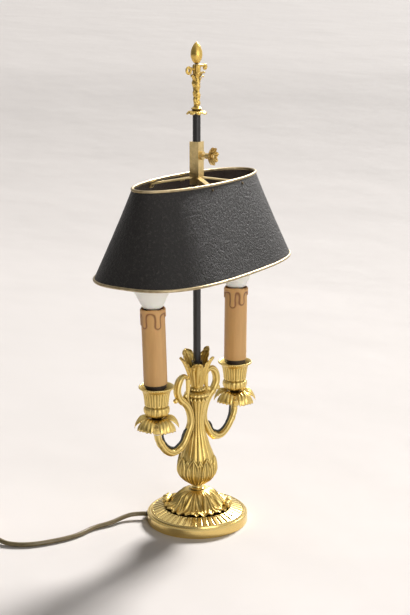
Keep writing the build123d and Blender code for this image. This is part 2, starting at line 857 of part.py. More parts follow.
with BuildPart() as finial_bud:
    with BuildSketch(Plane.XZ):
        with BuildLine():
            Spline(
                (0, finial_shaft_top + bud_height),
                (bud_radius * 0.62, finial_shaft_top + bud_height * 0.8),
                (bud_radius, finial_shaft_top + bud_height * 0.45),
                (bud_radius * 0.84, finial_shaft_top + bud_height * 0.18),
                (bud_radius * 0.42, finial_shaft_top),
            )
            Polyline(
                (bud_radius * 0.42, finial_shaft_top),
                (0, finial_shaft_top),
                (0, finial_shaft_top + bud_height),
            )
        make_face()
    revolve(axis=Axis.Z)
finial_bud.part.label = "finial_bud"
export_step(finial_bud.part, "parts/finial_bud.step")

# ================================================================ the two arms and what they carry
bend_z = waist_z - bend_drop
loop_z = waist_z + loop_rise
strand_reach = waist_radius + arm_radius - 1.0

# Middle line of the scroll, as distance from the lamp's axis and height, from the candle to the loop's end.
scroll_route = [
    (arm_reach, arm_seat_z),
    (arm_reach, arm_seat_z - 12.0),
    (arm_reach - 5.5, bend_z + 15.5),
    (bend_reach + 10.5, bend_z + 4.0),
    (bend_reach - 3.0, bend_z - 2.0),
    (bend_reach - 18.0, bend_z + 5.0),
    (strand_reach + 4.5, bend_z + 18.0),
    (strand_reach - 1.2, waist_z + 1.0),
    (strand_reach + 1.5, waist_z + 14.5),
    (strand_reach + 8.0, waist_z + 25.0),
    (loop_reach - 3.0, waist_z + outer_knob_rise),
    (loop_reach + 1.5, loop_z),
    (loop_reach - 3.0, loop_z + 12.0),
    (loop_reach - 12.0, loop_z + 16.0),
    (strand_reach + 4.5, loop_z + 10.0),
]
tendril_route = [
    (strand_reach + 4.5, loop_z + 10.0),
    (strand_reach + 4.0, loop_z),
    (strand_reach + 5.6, loop_z - 9.0),
    (strand_reach + 3.6, loop_z - 20.0),
    (strand_reach + 2.0, waist_z + 13.0),
]
# The wire leaves the stem, lies in the hollow of the arm's lower bend and goes up beside the seat.
wire_lift = arm_radius + wire_radius + wire_gap
wire_beside_seat = pan_hub_radius + wire_radius
wire_route = [
    (tube_radius + wire_gap, wire_exit_z),
    (strand_reach + 9.6, wire_exit_z),
    (strand_reach + 13.2, bend_z + 16.4),
    *reversed(beside(scroll_route[1:7], wire_lift)),
    (arm_reach - wire_beside_seat + 0.5, arm_seat_z - 8.0),
    (arm_reach - wire_beside_seat - wire_gap, arm_seat_z + 5.5),
]
scroll_radii = bend_radii([(x, 0, z) for x, z in scroll_route])
tendril_radii = bend_radii([(x, 0, z) for x, z in tendril_route])
wire_radii = bend_radii([(x, 0, z) for x, z in wire_route])

pan_bottom = arm_seat_z
pan_notch_reach = pan_radius + pan_notch_radius - pan_notch_depth
cup_bottom = pan_bottom + pan_hub_height + 2.5
cup_floor_z = cup_bottom + cup_floor
nipple_bottom = arm_seat_z - 10.0
nipple_hole = nipple_radius + thread_gap

for side, sign in (("left", -1), ("right", 1)):
    seat = (sign * arm_reach, 0)
    scroll_line = [(sign * x, 0, z) for x, z in scroll_route]
    tendril_line = [(sign * x, 0, z) for x, z in tendril_route]
    wire_line = [(sign * x, 0, z) for x, z in wire_route]

    with BuildPart() as arm:
        with BuildLine():
            scroll = FilletPolyline(*scroll_line, radius=scroll_radii)
        with BuildSketch(Plane(scroll @ 0, z_dir=scroll % 0)):
            Circle(arm_radius)
        sweep(path=scroll)
        with Locations((sign * (loop_reach + 3.0), 0, waist_z + outer_knob_rise)):
            Sphere(knob_radius + 0.6)
        with Locations((sign * (strand_reach + 8.0), 0, loop_z - 9.0)):
            Sphere(knob_radius)
        with Locations((sign * arm_reach, 0, arm_seat_z)):
            Cylinder(pan_hub_radius - 1.5, 9.0, align=(Align.CENTER, Align.CENTER, Align.MAX))
        with BuildLine():
            tendril = FilletPolyline(*tendril_line, radius=tendril_radii)
        with BuildSketch(Plane(tendril @ 0, z_dir=tendril % 0)):
            Circle(tendril_radius)
        sweep(path=tendril)
        add(stem_envelope.part, mode=Mode.SUBTRACT)
        with BuildSketch(Plane.XY.offset(arm_seat_z)):
            with Locations(seat):
                Circle(nipple_hole)
        extrude(amount=nipple_bottom - arm_seat_z, mode=Mode.SUBTRACT)
        with BuildSketch(Plane((0, 0, wire_exit_z), z_dir=(sign, 0, 0))):
            Circle(wire_radius + seat_gap)
        extrude(amount=strand_reach + 12.0, mode=Mode.SUBTRACT)
    arm.part.label = f"arm_{side}"
    export_step(arm.part, f"parts/arm_{side}.step")

    with BuildPart() as lead_wire:
        with BuildLine():
            wire = FilletPolyline(*wire_line, radius=wire_radii)
        with BuildSketch(Plane(wire @ 0, z_dir=wire % 0)):
            Circle(wire_radius)
        sweep(path=wire)
    lead_wire.part.label = f"lead_wire_{side}"
    export_step(lead_wire.part, f"parts/lead_wire_{side}.step")

    seat_section = Plane((sign * arm_reach, 0, pan_bottom), x_dir=(1, 0, 0), z_dir=(0, -1, 0))
    seat_axis = Axis((sign * arm_reach, 0, 0), (0, 0, 1))

    with BuildPart() as drip_pan:
        with BuildSketch(seat_section):
            with BuildLine():
                Line((nipple_hole, 0), (pan_hub_radius, 0))
                Line((pan_hub_radius, 0), (pan_hub_radius, pan_hub_height - pan_wall))
                Spline(
                    (pan_hub_radius, pan_hub_height - pan_wall),
                    (pan_crown_radius, pan_crown_rise - pan_wall),
                    (pan_radius - 5.1, 0.74 * pan_crown_rise - pan_wall),
                    (pan_radius - 0.4 - pan_wall, 0.16 * pan_crown_rise),
                    (pan_radius - pan_wall, -pan_droop),
                )
                Line((pan_radius - pan_wall, -pan_droop), (pan_radius, -pan_droop + 0.4))
                Spline(
                    (pan_radius, -pan_droop + 0.4),
                    (pan_radius - 0.4, 0.24 * pan_crown_rise),
                    (pan_radius - 4.2, 0.74 * pan_crown_rise),
                    (pan_crown_radius, pan_crown_rise),
                    (pan_hub_radius - 1.5, pan_hub_height),
                )
                Polyline(
                    (pan_hub_radius - 1.5, pan_hub_height),
                    (nipple_hole, pan_hub_height),
                    (nipple_hole, 0),
                )
            make_face()
        revolve(axis=seat_axis)
        with Locations((sign * arm_reach, 0, pan_bottom)):
            with PolarLocations(pan_notch_reach, pan_leaf_count, start_angle=pan_notch_turn):
                Cylinder(pan_notch_radius, 2 * pan_crown_rise, mode=Mode.SUBTRACT)
    drip_pan.part.label = f"drip_pan_{side}"
    export_step(drip_pan.part, f"parts/drip_pan_{side}.step")

    cup_section = Plane((sign * arm_reach, 0, cup_bottom), x_dir=(1, 0, 0), z_dir=(0, -1, 0))
    with BuildPart() as candle_cup:
        with BuildSketch(cup_section):
            with BuildLine():
                Polyline(
                    (nipple_hole, pan_hub_height + pan_bottom - cup_bottom),
                    (cup_neck_radius, pan_hub_height + pan_bottom - cup_bottom),
                    (cup_neck_radius, 0),
                    (cup_foot_radius, 0),
                )
                Spline(
                    (cup_foot_radius, 0),
                    (cup_bulge_radius, 7.5),
                    (cup_bulge_radius - 0.5, 11.5),
                    (cup_body_radius, 27.5),
                    (cup_lip_radius - 1.2, cup_height - 2.0),
                )
                ThreePointArc(
                    (cup_lip_radius - 1.2, cup_height - 2.0),
                    (cup_lip_radius, cup_height - 1.1),
                    (cup_lip_radius - 0.8, cup_height),
                )
                Polyline(
                    (cup_lip_radius - 0.8, cup_height),
                    (cup_body_radius + 1.2, cup_height - 1.6),
                    (holder_foot_radius + 2.6, cup_height - 7.0),
                    (holder_foot_radius + 0.8, cup_floor),
                    (nipple_hole, cup_floor),
                    (nipple_hole, pan_hub_height + pan_bottom - cup_bottom),
                )
            make_face()
        revolve(axis=seat_axis)
        with Locations((sign * arm_reach, 0, cup_bottom + cup_flute_middle)):
            with PolarLocations(cup_body_radius + thread_gap, cup_flute_count):
                Cylinder(cup_flute_radius, cup_flute_length, rotation=(0, cup_flute_lean, 0), mode=Mode.SUBTRACT)
    candle_cup.part.label = f"candle_cup_{side}"
    export_step(candle_cup.part, f"parts/candle_cup_{side}.step")

    with BuildPart() as nipple:
        with BuildSketch(Plane.XY.offset(nipple_bottom)):
            with Locations(seat):
                Circle(nipple_radius)
                Circle(nipple_radius - 1.2, mode=Mode.SUBTRACT)
        extrude(amount=nipple_length)
    nipple.part.label = f"arm_nipple_{side}"
    export_step(nipple.part, f"parts/arm_nipple_{side}.step")

    # The holder, sleeve and bulb share one axis, which leans outward a little.
    lean = radians(sign * candle_lean[side])
    lean_lift = holder_foot_radius * sin(abs(lean)) + thread_gap
    foot = Vector(sign * arm_reach, 0, cup_floor_z + lean_lift)
    across = Vector(cos(lean), 0, -sin(lean))
    upward = Vector(sin(lean), 0, cos(lean))
    candle_plane = Plane(foot, x_dir=across, z_dir=upward)
    candle_section = Plane(foot, x_dir=across, z_dir=(0, -1, 0))
    candle_axis = Axis(foot, upward)
    flange_top = holder_flange_z + holder_flange_thickness
    shell_outer = contact_shell_inner + contact_shell_wall
    shell_bottom = holder_height - contact_shell_height
    holder_bore = nipple_bottom + nipple_length - cup_floor_z + seat_gap
    nipple_clearance = nipple_radius + holder_bore * sin(abs(lean)) + seat_gap

    with BuildPart() as candle_holder:
        with BuildSketch(candle_section):
            with BuildLine():
                Polyline(
                    (nipple_clearance, 0),
                    (holder_foot_radius, 0),
                    (holder_foot_radius, holder_foot_height - 2.0),
                    (holder_skirt_radius, holder_foot_height),
                    (holder_skirt_radius, holder_flange_z),
                    (holder_flange_radius, holder_flange_z),
                    (holder_flange_radius, flange_top),
                    (holder_body_radius, flange_top),
                    (holder_body_radius, holder_height),
                    (shell_outer, holder_height),
                    (shell_outer, shell_bottom),
                    (contact_pin_radius, shell_bottom),
                    (0, shell_bottom),
                    (0, holder_bore),
                    (nipple_clearance, holder_bore),
                    close=True,
                )
            make_face()
        revolve(axis=candle_axis)
    candle_holder.part.label = f"candle_holder_{side}"
    export_step(candle_holder.part, f"parts/candle_holder_{side}.step")

    with BuildPart() as holder_contacts:
        with BuildSketch(candle_plane.offset(shell_bottom)):
            Circle(shell_outer)
            Circle(contact_shell_inner, mode=Mode.SUBTRACT)
        extrude(amount=contact_shell_height)
        with BuildSketch(candle_plane.offset(shell_bottom)):
            Circle(contact_pin_radius)
        extrude(amount=contact_pin_height)
    holder_contacts.part.label = f"holder_contacts_{side}"
    export_step(holder_contacts.part, f"parts/holder_contacts_{side}.step")

    with BuildPart() as candle_sleeve:
        with BuildSketch(candle_section):
            with BuildLine():
                Polyline(
                    (sleeve_radius - sleeve_wall, flange_top),
                    (sleeve_radius, flange_top),
                    (sleeve_radius, sleeve_top - drip_collar_height),
                    (sleeve_radius + drip_collar_relief, sleeve_top - drip_collar_height + 1.0),
                    (sleeve_radius + drip_collar_relief, sleeve_top - 0.8),
                    (sleeve_radius, sleeve_top),
                    (sleeve_radius - sleeve_wall, sleeve_top - 0.4),
                    close=True,
                )
            make_face()
        revolve(axis=candle_axis)
        for number, drip_length in enumerate(drip_lengths):
            drip_angle = radians(360 * number / len(drip_lengths) + 20)
            drip_outward = across * cos(drip_angle) + Vector(0, 1, 0) * sin(drip_angle)
            drip_middle = foot + upward * (sleeve_top - drip_collar_height - drip_length / 2 + 1.5)
            with BuildSketch(
                Plane(drip_middle + drip_outward * (sleeve_radius - 0.6), x_dir=upward, z_dir=drip_outward)
            ):
                SlotOverall(drip_length, drip_width)
            extrude(amount=0.6 + drip_collar_relief)
    candle_sleeve.part.label = f"candle_sleeve_{side}"
    export_step(candle_sleeve.part, f"parts/candle_sleeve_{side}.step")

    cap_bottom = shell_bottom + contact_pin_height + seat_gap
    cap_top = cap_bottom + cap_height
    cap_radius = contact_shell_inner - running_gap
    with BuildPart() as bulb_cap:
        with BuildSketch(candle_plane.offset(cap_bottom)):
            Circle(cap_radius)
        extrude(amount=cap_height)
        chamfer(bulb_cap.faces().sort_by(candle_axis)[0].edges(), 2.0)
    bulb_cap.part.label = f"bulb_cap_{side}"
    export_step(bulb_cap.part, f"parts/bulb_cap_{side}.step")

    glass_centre = cap_top + glass_centre_height
    inner_glass = glass_radius - glass_wall
    below = radians(glass_shoulder_angle)
    shoulder = (glass_radius * cos(below), glass_centre - glass_radius * sin(below))
    inner_shoulder = (inner_glass * cos(below), glass_centre - inner_glass * sin(below))
    neck = (glass_neck_radius, cap_top + glass_neck_rise)
    inner_neck = (glass_neck_radius - glass_wall, cap_top + glass_neck_rise)
    glass_foot = cap_radius + 0.4
    with BuildPart() as bulb_glass:
        with BuildSketch(candle_section):
            with BuildLine():
                Polyline((glass_foot - glass_wall, cap_top), (glass_foot, cap_top), neck)
                Spline(neck, shoulder, tangents=((0.45, 1), (sin(below), cos(below))))
                ThreePointArc(shoulder, (glass_radius, glass_centre), (0, glass_centre + glass_radius))
                Line((0, glass_centre + glass_radius), (0, glass_centre + inner_glass))
                ThreePointArc((0, glass_centre + inner_glass), (inner_glass, glass_centre), inner_shoulder)
                Spline(inner_shoulder, inner_neck, tangents=((-sin(below), -cos(below)), (-0.45, -1)))
                Line(inner_neck, (glass_foot - glass_wall, cap_top))
            make_face()
        revolve(axis=candle_axis)
    bulb_glass.part.label = f"bulb_glass_{side}"
    export_step(bulb_glass.part, f"parts/bulb_glass_{side}.step")

# ================================================================ shade
shade_plane = Plane.XY.rotated((0, 0, shade_turn))
rivet_planes = [wall_plane(angle, rivet_z) for angle in
                (rivet_angle, 180 - rivet_angle, 180 + rivet_angle, 360 - rivet_angle)]
# The sheet's thickness and the bent-over tab behind it, measured square to the leaning wall.
wall_depth = shade_sheet * sqrt(1 - rivet_planes[0].z_dir.Z ** 2)
tab_face = wall_depth + thread_gap
tab_back = tab_face + tab_thickness

with BuildPart() as shade_skin:
    with BuildSketch(shade_plane.offset(shade_bottom_z)):
        with BuildLine():
            Spline(*bottom_oval(), periodic=True)
        make_face()
    with BuildSketch(shade_plane.offset(shade_top_z)):
        with BuildLine():
            Spline(*top_oval(), periodic=True)
        make_face()
    loft(ruled=True)
    with BuildSketch(shade_plane.offset(shade_bottom_z)):
        with BuildLine():
            Spline(*bottom_oval(-shade_sheet), periodic=True)
        make_face()
    with BuildSketch(shade_plane.offset(shade_top_z)):
        with BuildLine():
            Spline(*top_oval(-shade_sheet), periodic=True)
        make_face()
    loft(ruled=True, mode=Mode.SUBTRACT)
    with BuildSketch(*rivet_planes):
        Circle(rivet_radius + thread_gap)
    extrude(amount=overshoot, both=True, mode=Mode.SUBTRACT)
shade_skin.part.label = "shade_skin"
export_step(shade_skin.part, "parts/shade_skin.step")

for name, points, z in (
    ("shade_rim_bottom", bottom_oval(-shade_sheet / 2), shade_bottom_z),
    ("shade_rim_top", top_oval(-shade_sheet / 2), shade_top_z),
):
    with BuildPart() as shade_rim:
        with BuildLine(shade_plane.offset(z)):
            rim = Spline(*points, periodic=True)
        with BuildSketch(Plane(rim @ 0, z_dir=rim % 0)):
            Circle(rim_radius)
        sweep(path=rim)
        add(shade_skin.part, mode=Mode.SUBTRACT)
    shade_rim.part.label = name
    export_step(shade_rim.part, f"parts/{name}.step")

with BuildPart() as shade_rivets:
    with BuildSketch(*[plane.offset(-tab_back - rivet_tail_height) for plane in rivet_planes]):
        Circle(rivet_radius)
    extrude(amount=tab_back + rivet_tail_height + thread_gap)
    with BuildSketch(*[plane.offset(-tab_back) for plane in rivet_planes]):
        Circle(rivet_head_radius)
    extrude(amount=-rivet_tail_height)
    with BuildSketch(*[plane.offset(thread_gap) for plane in rivet_planes]):
        Circle(rivet_head_radius)
    extrude(amount=rivet_head_height, taper=20)
shade_rivets.part.label = "shade_rivets"
export_step(shade_rivets.part, "parts/shade_rivets.step")

# ---------------------------------------------------------------- slide block and clamp
clamp_direction = heading(shade_turn - 90)
clamp_axis = Plane((0, 0, screw_z), z_dir=clamp_direction)
boss_end = block_side / 2 + boss_length
knob_inner = knob_reach - knob_thickness / 2
collar_outer = knob_inner - 2.6

with BuildPart() as slide_block:
    with BuildSketch(shade_plane.offset(block_bottom_z)):
        Rectangle(block_side, block_side)
        Circle(rod_radius + running_gap, mode=Mode.SUBTRACT)
    extrude(amount=block_top_z - block_bottom_z)
    with BuildSketch(clamp_axis.offset(rod_radius + running_gap)):
        Circle(screw_radius + running_gap)
    extrude(amount=block_side, mode=Mode.SUBTRACT)
slide_block.part.label = "slide_block"
export_step(slide_block.part, "parts/slide_block.step")

with BuildPart() as clamp_boss:
    with BuildSketch(clamp_axis.offset(block_side / 2)):
        Circle(boss_radius)
        Circle(screw_radius + running_gap, mode=Mode.SUBTRACT)
    extrude(amount=boss_length)
clamp_boss.part.label = "clamp_boss"
export_step(clamp_boss.part, "parts/clamp_boss.step")

with BuildPart() as clamp_screw:
    with BuildSketch(clamp_axis.offset(rod_radius + seat_gap)):
        Circle(screw_radius)
    extrude(amount=knob_reach + knob_thickness / 2 - rod_radius - seat_gap)
    with BuildSketch(clamp_axis.offset(collar_outer - collar_length)):
        Circle(collar_radius)
    extrude(amount=collar_length)
clamp_screw.part.label = "clamp_screw"
export_step(clamp_screw.part, "parts/clamp_screw.step")

with BuildPart() as clamp_knob:
    with BuildSketch(clamp_axis.offset(knob_inner)):
        Circle(knob_plate_radius)
        with PolarLocations(knob_plate_radius, knob_petals):
            Circle(knob_petal_radius)
        Circle(screw_radius + thread_gap, mode=Mode.SUBTRACT)
    extrude(amount=knob_thickness)
    with BuildSketch(clamp_axis.offset(knob_inner + knob_thickness)):
        Circle(knob_button_radius)
    extrude(amount=knob_button_height, taper=20)
clamp_knob.part.label = "clamp_knob"
export_step(clamp_knob.part, "parts/clamp_knob.step")

# ---------------------------------------------------------------- spider bars, bent over at the wall and riveted
bar_angles = {
    "front_left": 180 + rivet_angle,
    "front_right": 360 - rivet_angle,
    "back_left": 180 - rivet_angle,
    "back_right": rivet_angle,
}
for name, angle in bar_angles.items():
    tip = wall_point(angle, bar_tip_z)
    outward = Vector(tip.X, tip.Y, 0).normalized()
    root = outward * (block_side / 2) + Vector(0, 0, bar_root_z)
    along = tip - root
    bar_normal = along.cross(Vector(0, 0, 1).cross(outward))
    tab_plane = wall_plane(angle, rivet_z)
    with BuildPart() as spider_bar:
        with BuildSketch(Plane(root, x_dir=along, z_dir=bar_normal)):
            Rectangle(along.length, bar_width, align=(Align.MIN, Align.CENTER))
        extrude(amount=bar_thickness / 2, both=True)
        with BuildSketch(tab_plane.offset(-tab_face)):
            Rectangle(6 * bar_width, 6 * bar_width)
        extrude(amount=4 * overshoot, mode=Mode.SUBTRACT)
        with BuildSketch(tab_plane.offset(-tab_face)):
            Rectangle(tab_width, tab_height)
        extrude(amount=-tab_thickness)
        with BuildSketch(tab_plane):
            Circle(rivet_radius + thread_gap)
        extrude(amount=-tab_back, mode=Mode.SUBTRACT)
        with BuildSketch(tab_plane.offset(-tab_back)):
            Circle(rivet_head_radius + thread_gap)
        extrude(amount=-2 * rivet_tail_height, mode=Mode.SUBTRACT)
        with BuildSketch(shade_plane.offset(block_bottom_z)):
            Rectangle(block_side, block_side)
        extrude(amount=block_top_z - block_bottom_z, mode=Mode.SUBTRACT)
    spider_bar.part.label = f"spider_bar_{name}"
    export_step(spider_bar.part, f"parts/spider_bar_{name}.step")

# ================================================================ cord, switch and plug
switch_direction = heading(switch_azimuth)
plug_direction = heading(plug_azimuth)
switch_middle = Vector(*switch_centre, 0)
switch_reach = switch_length / 2 + nose_length
switch_height_middle = Vector(0, 0, switch_split)
plug_start = Vector(*plug_tail_start, plug_thickness / 2)
lead_start = exit_direction * (base_radius + gland_proud) + Vector(0, 0, cord_exit_z)
lead_end = switch_middle - switch_direction * switch_reach + switch_height_middle
mid_start = switch_middle + switch_direction * switch_reach + switch_height_middle

coil_build = coil_turns_across * cord_radius
with BuildPart() as cord_coil:
    with BuildSketch():
        with Locations(coil_centre):
            Circle(coil_mid_radius + coil_build)
            Circle(coil_mid_radius - coil_build, mode=Mode.SUBTRACT)
    extrude(amount=2 * cord_radius * coil_turns_up)
cord_coil.part.label = "cord_coil"
export_step(cord_coil.part, "parts/cord_coil.step")

for name, route in (
    (
        "cord_lead",
        [
            lead_start,
            lead_start + exit_direction * exit_run,
            *lead_bends,
            lead_end - switch_direction * switch_run,
            lead_end,
        ],
    ),
    ("cord_mid", [mid_start, mid_start + switch_direction * switch_run, *mid_bends]),
    ("cord_tail", [*tail_bends, plug_start - plug_direction * plug_run, plug_start]),
):
    places = [Vector(*place) for place in route]
    radii = bend_radii(places)
    with BuildPart() as cord:
        with BuildLine():
            cord_line = FilletPolyline(*places, radius=radii)
        with BuildSketch(Plane(cord_line @ 0, z_dir=cord_line % 0)):
            Circle(cord_radius)
        sweep(path=cord_line)
        swept_volume = cord.part.volume
        add(cord_coil.part, mode=Mode.SUBTRACT)
    expected_volume = pi * cord_radius ** 2 * cord_line.length
    print(name, "length", round(cord_line.length, 1), "radii", [round(radius, 1) for radius in radii])
    print(name, "volume over section times length", round(swept_volume / expected_volume, 4))
    cord.part.label = name
    export_step(cord.part, f"parts/{name}.step")

switch_floor = Plane(switch_middle, x_dir=switch_direction, z_dir=(0, 0, 1))
switch_side = Plane(switch_middle, x_dir=switch_direction, z_dir=switch_direction.cross(Vector(0, 0, 1)))
nose_planes = [
    Plane(switch_middle + switch_direction * (side * switch_reach) + switch_height_middle,
          z_dir=switch_direction * -side)
    for side in (-1, 1)
]
rocker_pocket = rocker_length / 2 + rocker_gap

for name, low, high in (
    ("switch_bottom", 0.0, switch_split),
    ("switch_top", switch_split, switch_height),
):
    with BuildPart() as switch_half:
        with BuildSketch(switch_floor.offset(low)):
            RectangleRounded(switch_length, switch_width, switch_corner)
        extrude(amount=high - low)
        for plane in nose_planes:
            with BuildSketch(plane):
                Circle(nose_tip_radius)
            with BuildSketch(plane.offset(nose_length + 1.0)):
                Circle(nose_root_radius)
            loft()
        with BuildSketch(switch_floor.offset(low)):
            Rectangle(3 * switch_length, 3 * switch_width)
        extrude(amount=high - low, mode=Mode.INTERSECT)
        with BuildSketch(switch_side):
            with Locations((0, rocker_pivot_z)):
                Circle(rocker_pocket)
            Rectangle(3 * switch_length, 2 * (rocker_pivot_z - rocker_pocket + 1.0), mode=Mode.SUBTRACT)
        extrude(amount=rocker_width / 2 + rocker_gap, both=True, mode=Mode.SUBTRACT)
        with BuildSketch(switch_side):
            with Locations((0, rocker_pivot_z)):
                Circle(trunnion_radius + running_gap)
        extrude(amount=rocker_width / 2 + rocker_gap + trunnion_length, both=True, mode=Mode.SUBTRACT)
        with BuildSketch(switch_floor.offset(switch_height - switch_screw_depth)):
            with Locations((-switch_screw_reach, 0), (switch_screw_reach, 0)):
                Circle(switch_screw_radius + thread_gap)
        extrude(amount=switch_height, mode=Mode.SUBTRACT)
        with BuildSketch(switch_floor.offset(switch_height - switch_screw_head_height)):
            with Locations((-switch_screw_reach, 0), (switch_screw_reach, 0)):
                Circle(switch_screw_head_radius + thread_gap)
        extrude(amount=switch_height, mode=Mode.SUBTRACT)
    switch_half.part.label = name
    export_step(switch_half.part, f"parts/{name}.step")

rocker_plane = Plane(
    switch_middle + Vector(0, 0, rocker_pivot_z),
    x_dir=switch_direction * cos(radians(rocker_tilt)) + Vector(0, 0, sin(radians(rocker_tilt))),
    z_dir=switch_side.z_dir,
)
with BuildPart() as switch_rocker:
    with BuildSketch(rocker_plane):
        with BuildLine():
            Polyline(
                (-rocker_length / 2, -rocker_drop),
                (rocker_length / 2, -rocker_drop),
                (rocker_length / 2, rocker_rise),
                (0, rocker_rise - rocker_dish),
                (-rocker_length / 2, rocker_rise),
                close=True,
            )
        make_face()
        Circle(rocker_length / 2, mode=Mode.INTERSECT)
    extrude(amount=rocker_width / 2, both=True)
    with BuildSketch(switch_side):
        with Locations((0, rocker_pivot_z)):
            Circle(trunnion_radius)
    extrude(amount=rocker_width / 2 + trunnion_length, both=True)
switch_rocker.part.label = "switch_rocker"
export_step(switch_rocker.part, "parts/switch_rocker.step")

with BuildPart() as switch_screws:
    with BuildSketch(switch_floor.offset(switch_height - switch_screw_depth)):
        with Locations((-switch_screw_reach, 0), (switch_screw_reach, 0)):
            Circle(switch_screw_radius)
    extrude(amount=switch_screw_depth)
    with BuildSketch(switch_floor.offset(switch_height - switch_screw_head_height)):
        with Locations((-switch_screw_reach, 0), (switch_screw_reach, 0)):
            Circle(switch_screw_head_radius)
    extrude(amount=switch_screw_head_height)
switch_screws.part.label = "switch_screws"
export_step(switch_screws.part, "parts/switch_screws.step")

plug_side = plug_direction.cross(Vector(0, 0, 1))
plug_plane = Plane(plug_start, x_dir=plug_side, z_dir=plug_direction)
plug_face = plug_tail_length + plug_length
pin_places = [(-pin_pitch / 2, 0), (pin_pitch / 2, 0)]
with BuildPart() as plug_body:
    with BuildSketch(plug_plane.offset(plug_tail_length)):
        RectangleRounded(plug_width, plug_thickness, plug_corner)
    extrude(amount=plug_length)
    with BuildSketch(plug_plane):
        Circle(plug_tail_radius)
    with BuildSketch(plug_plane.offset(plug_tail_length)):
        Circle(plug_tail_root_radius)
    loft()
    with BuildSketch(plug_plane.offset(plug_face - pin_depth)):
        with Locations(*pin_places):
            Circle(pin_radius + thread_gap)
    extrude(amount=pin_depth, mode=Mode.SUBTRACT)
plug_body.part.label = "plug_body"
export_step(plug_body.part, "parts/plug_body.step")

with BuildPart() as plug_pins:
    with BuildSketch(plug_plane.offset(plug_face - pin_depth)):
        with Locations(*pin_places):
            Circle(pin_radius)
    extrude(amount=pin_depth + pin_length)
plug_pins.part.label = "plug_pins"
export_step(plug_pins.part, "parts/plug_pins.step")
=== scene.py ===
import math

import bmesh
import bpy
import numpy as np
from bpy.props import FloatProperty, FloatVectorProperty, IntProperty, PointerProperty
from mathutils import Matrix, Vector, noise


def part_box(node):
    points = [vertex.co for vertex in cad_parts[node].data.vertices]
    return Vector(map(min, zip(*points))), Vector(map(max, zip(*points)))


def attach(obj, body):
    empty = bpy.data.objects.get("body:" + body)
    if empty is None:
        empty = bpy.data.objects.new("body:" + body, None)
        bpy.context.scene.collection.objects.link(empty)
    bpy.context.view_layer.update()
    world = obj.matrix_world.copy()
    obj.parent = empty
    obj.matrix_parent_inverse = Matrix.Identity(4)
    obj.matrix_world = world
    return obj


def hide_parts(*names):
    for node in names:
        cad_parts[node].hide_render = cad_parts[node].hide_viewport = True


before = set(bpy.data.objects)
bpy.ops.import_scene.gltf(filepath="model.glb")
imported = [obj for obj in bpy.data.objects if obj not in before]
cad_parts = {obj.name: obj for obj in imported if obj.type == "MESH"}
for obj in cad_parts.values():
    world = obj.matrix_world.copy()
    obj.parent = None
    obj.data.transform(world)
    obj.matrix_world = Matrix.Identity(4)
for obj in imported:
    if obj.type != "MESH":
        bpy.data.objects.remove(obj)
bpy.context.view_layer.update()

bl_info = {
    "name": "Bouillotte Lamp",
    "version": (1, 0, 0),
    "blender": (4, 5, 0),
    "location": "View3D > Sidebar > Lamp",
    "description": "Makes the ornament, finishes, cord and stage of a two-light bouillotte lamp",
    "category": "Add Mesh",
}

MM = 0.001
UP = Vector((0, 0, 1))
ACROSS_ARMS = Vector((0, 1, 0))  # square to the plane of the two arms

# Heights and radii that the ornament shares with the frame, in millimetres.
MOUND_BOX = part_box("base_mound")
STEM_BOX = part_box("stem")
RING_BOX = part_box("neck_ring")
CUP_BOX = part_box("leaf_cup")
SKIRT_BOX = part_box("finial_skirt")
SHAFT_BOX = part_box("finial_shaft")
BUD_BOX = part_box("finial_bud")
PAN_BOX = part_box("drip_pan_right")
CANDLE_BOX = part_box("candle_cup_right")

MOUND_FOOT = MOUND_BOX[0].z / MM
STEM_FOOT = STEM_BOX[0].z / MM
STEM_TOP = STEM_BOX[1].z / MM
LEAF_CUP_FOOT = CUP_BOX[0].z / MM
ARM_REACH = (PAN_BOX[0].x + PAN_BOX[1].x) / 2 / MM
PAN_DROOP = 1.6  # how far the pan's leaves hang below its seat
PAN_SEAT = PAN_BOX[0].z / MM + PAN_DROOP
CANDLE_CUP_TOP = CANDLE_BOX[1].z / MM
CANDLE_CUP_HEIGHT = 35.0
CANDLE_CUP_FOOT = CANDLE_CUP_TOP - CANDLE_CUP_HEIGHT
SKIRT_FOOT = SKIRT_BOX[0].z / MM
SHAFT_FOOT = SHAFT_BOX[0].z / MM
SHAFT_TOP = BUD_BOX[0].z / MM
BUD_TOP = BUD_BOX[1].z / MM
WAIST_Z = STEM_FOOT + 75.0  # the thinnest place of the stem
BORE = 5.02  # the hole through the stack for the threaded tube
PAN_BORE = 4.02  # the hole through each pan and candle cup for its threaded nipple
SIDES = {"left": -1, "right": 1}


# ================================================================ sizes and colours that a user may change
class LampStage(bpy.types.PropertyGroup):
    """The floor, lights and camera round the lamp."""

    floor_colour: FloatVectorProperty(
        name="Floor", description="Colour of the paper that the lamp stands on", subtype="COLOR", size=3,
        min=0, max=1, default=(0.81, 0.765, 0.735))
    window_strength: FloatProperty(
        name="Window", description="Strength of the light from far behind at the right", min=0, default=5.1)
    fill_power: FloatProperty(
        name="Fill", description="Power of the soft light at the front, and half of it overhead",
        unit="POWER", min=0, default=12.0)
    room_strength: FloatProperty(
        name="Room", description="Brightness of the light that comes from all round", min=0, default=0.78)
    lens: FloatProperty(
        name="Lens", description="Focal length of the camera", unit="CAMERA", min=1, default=73.17)


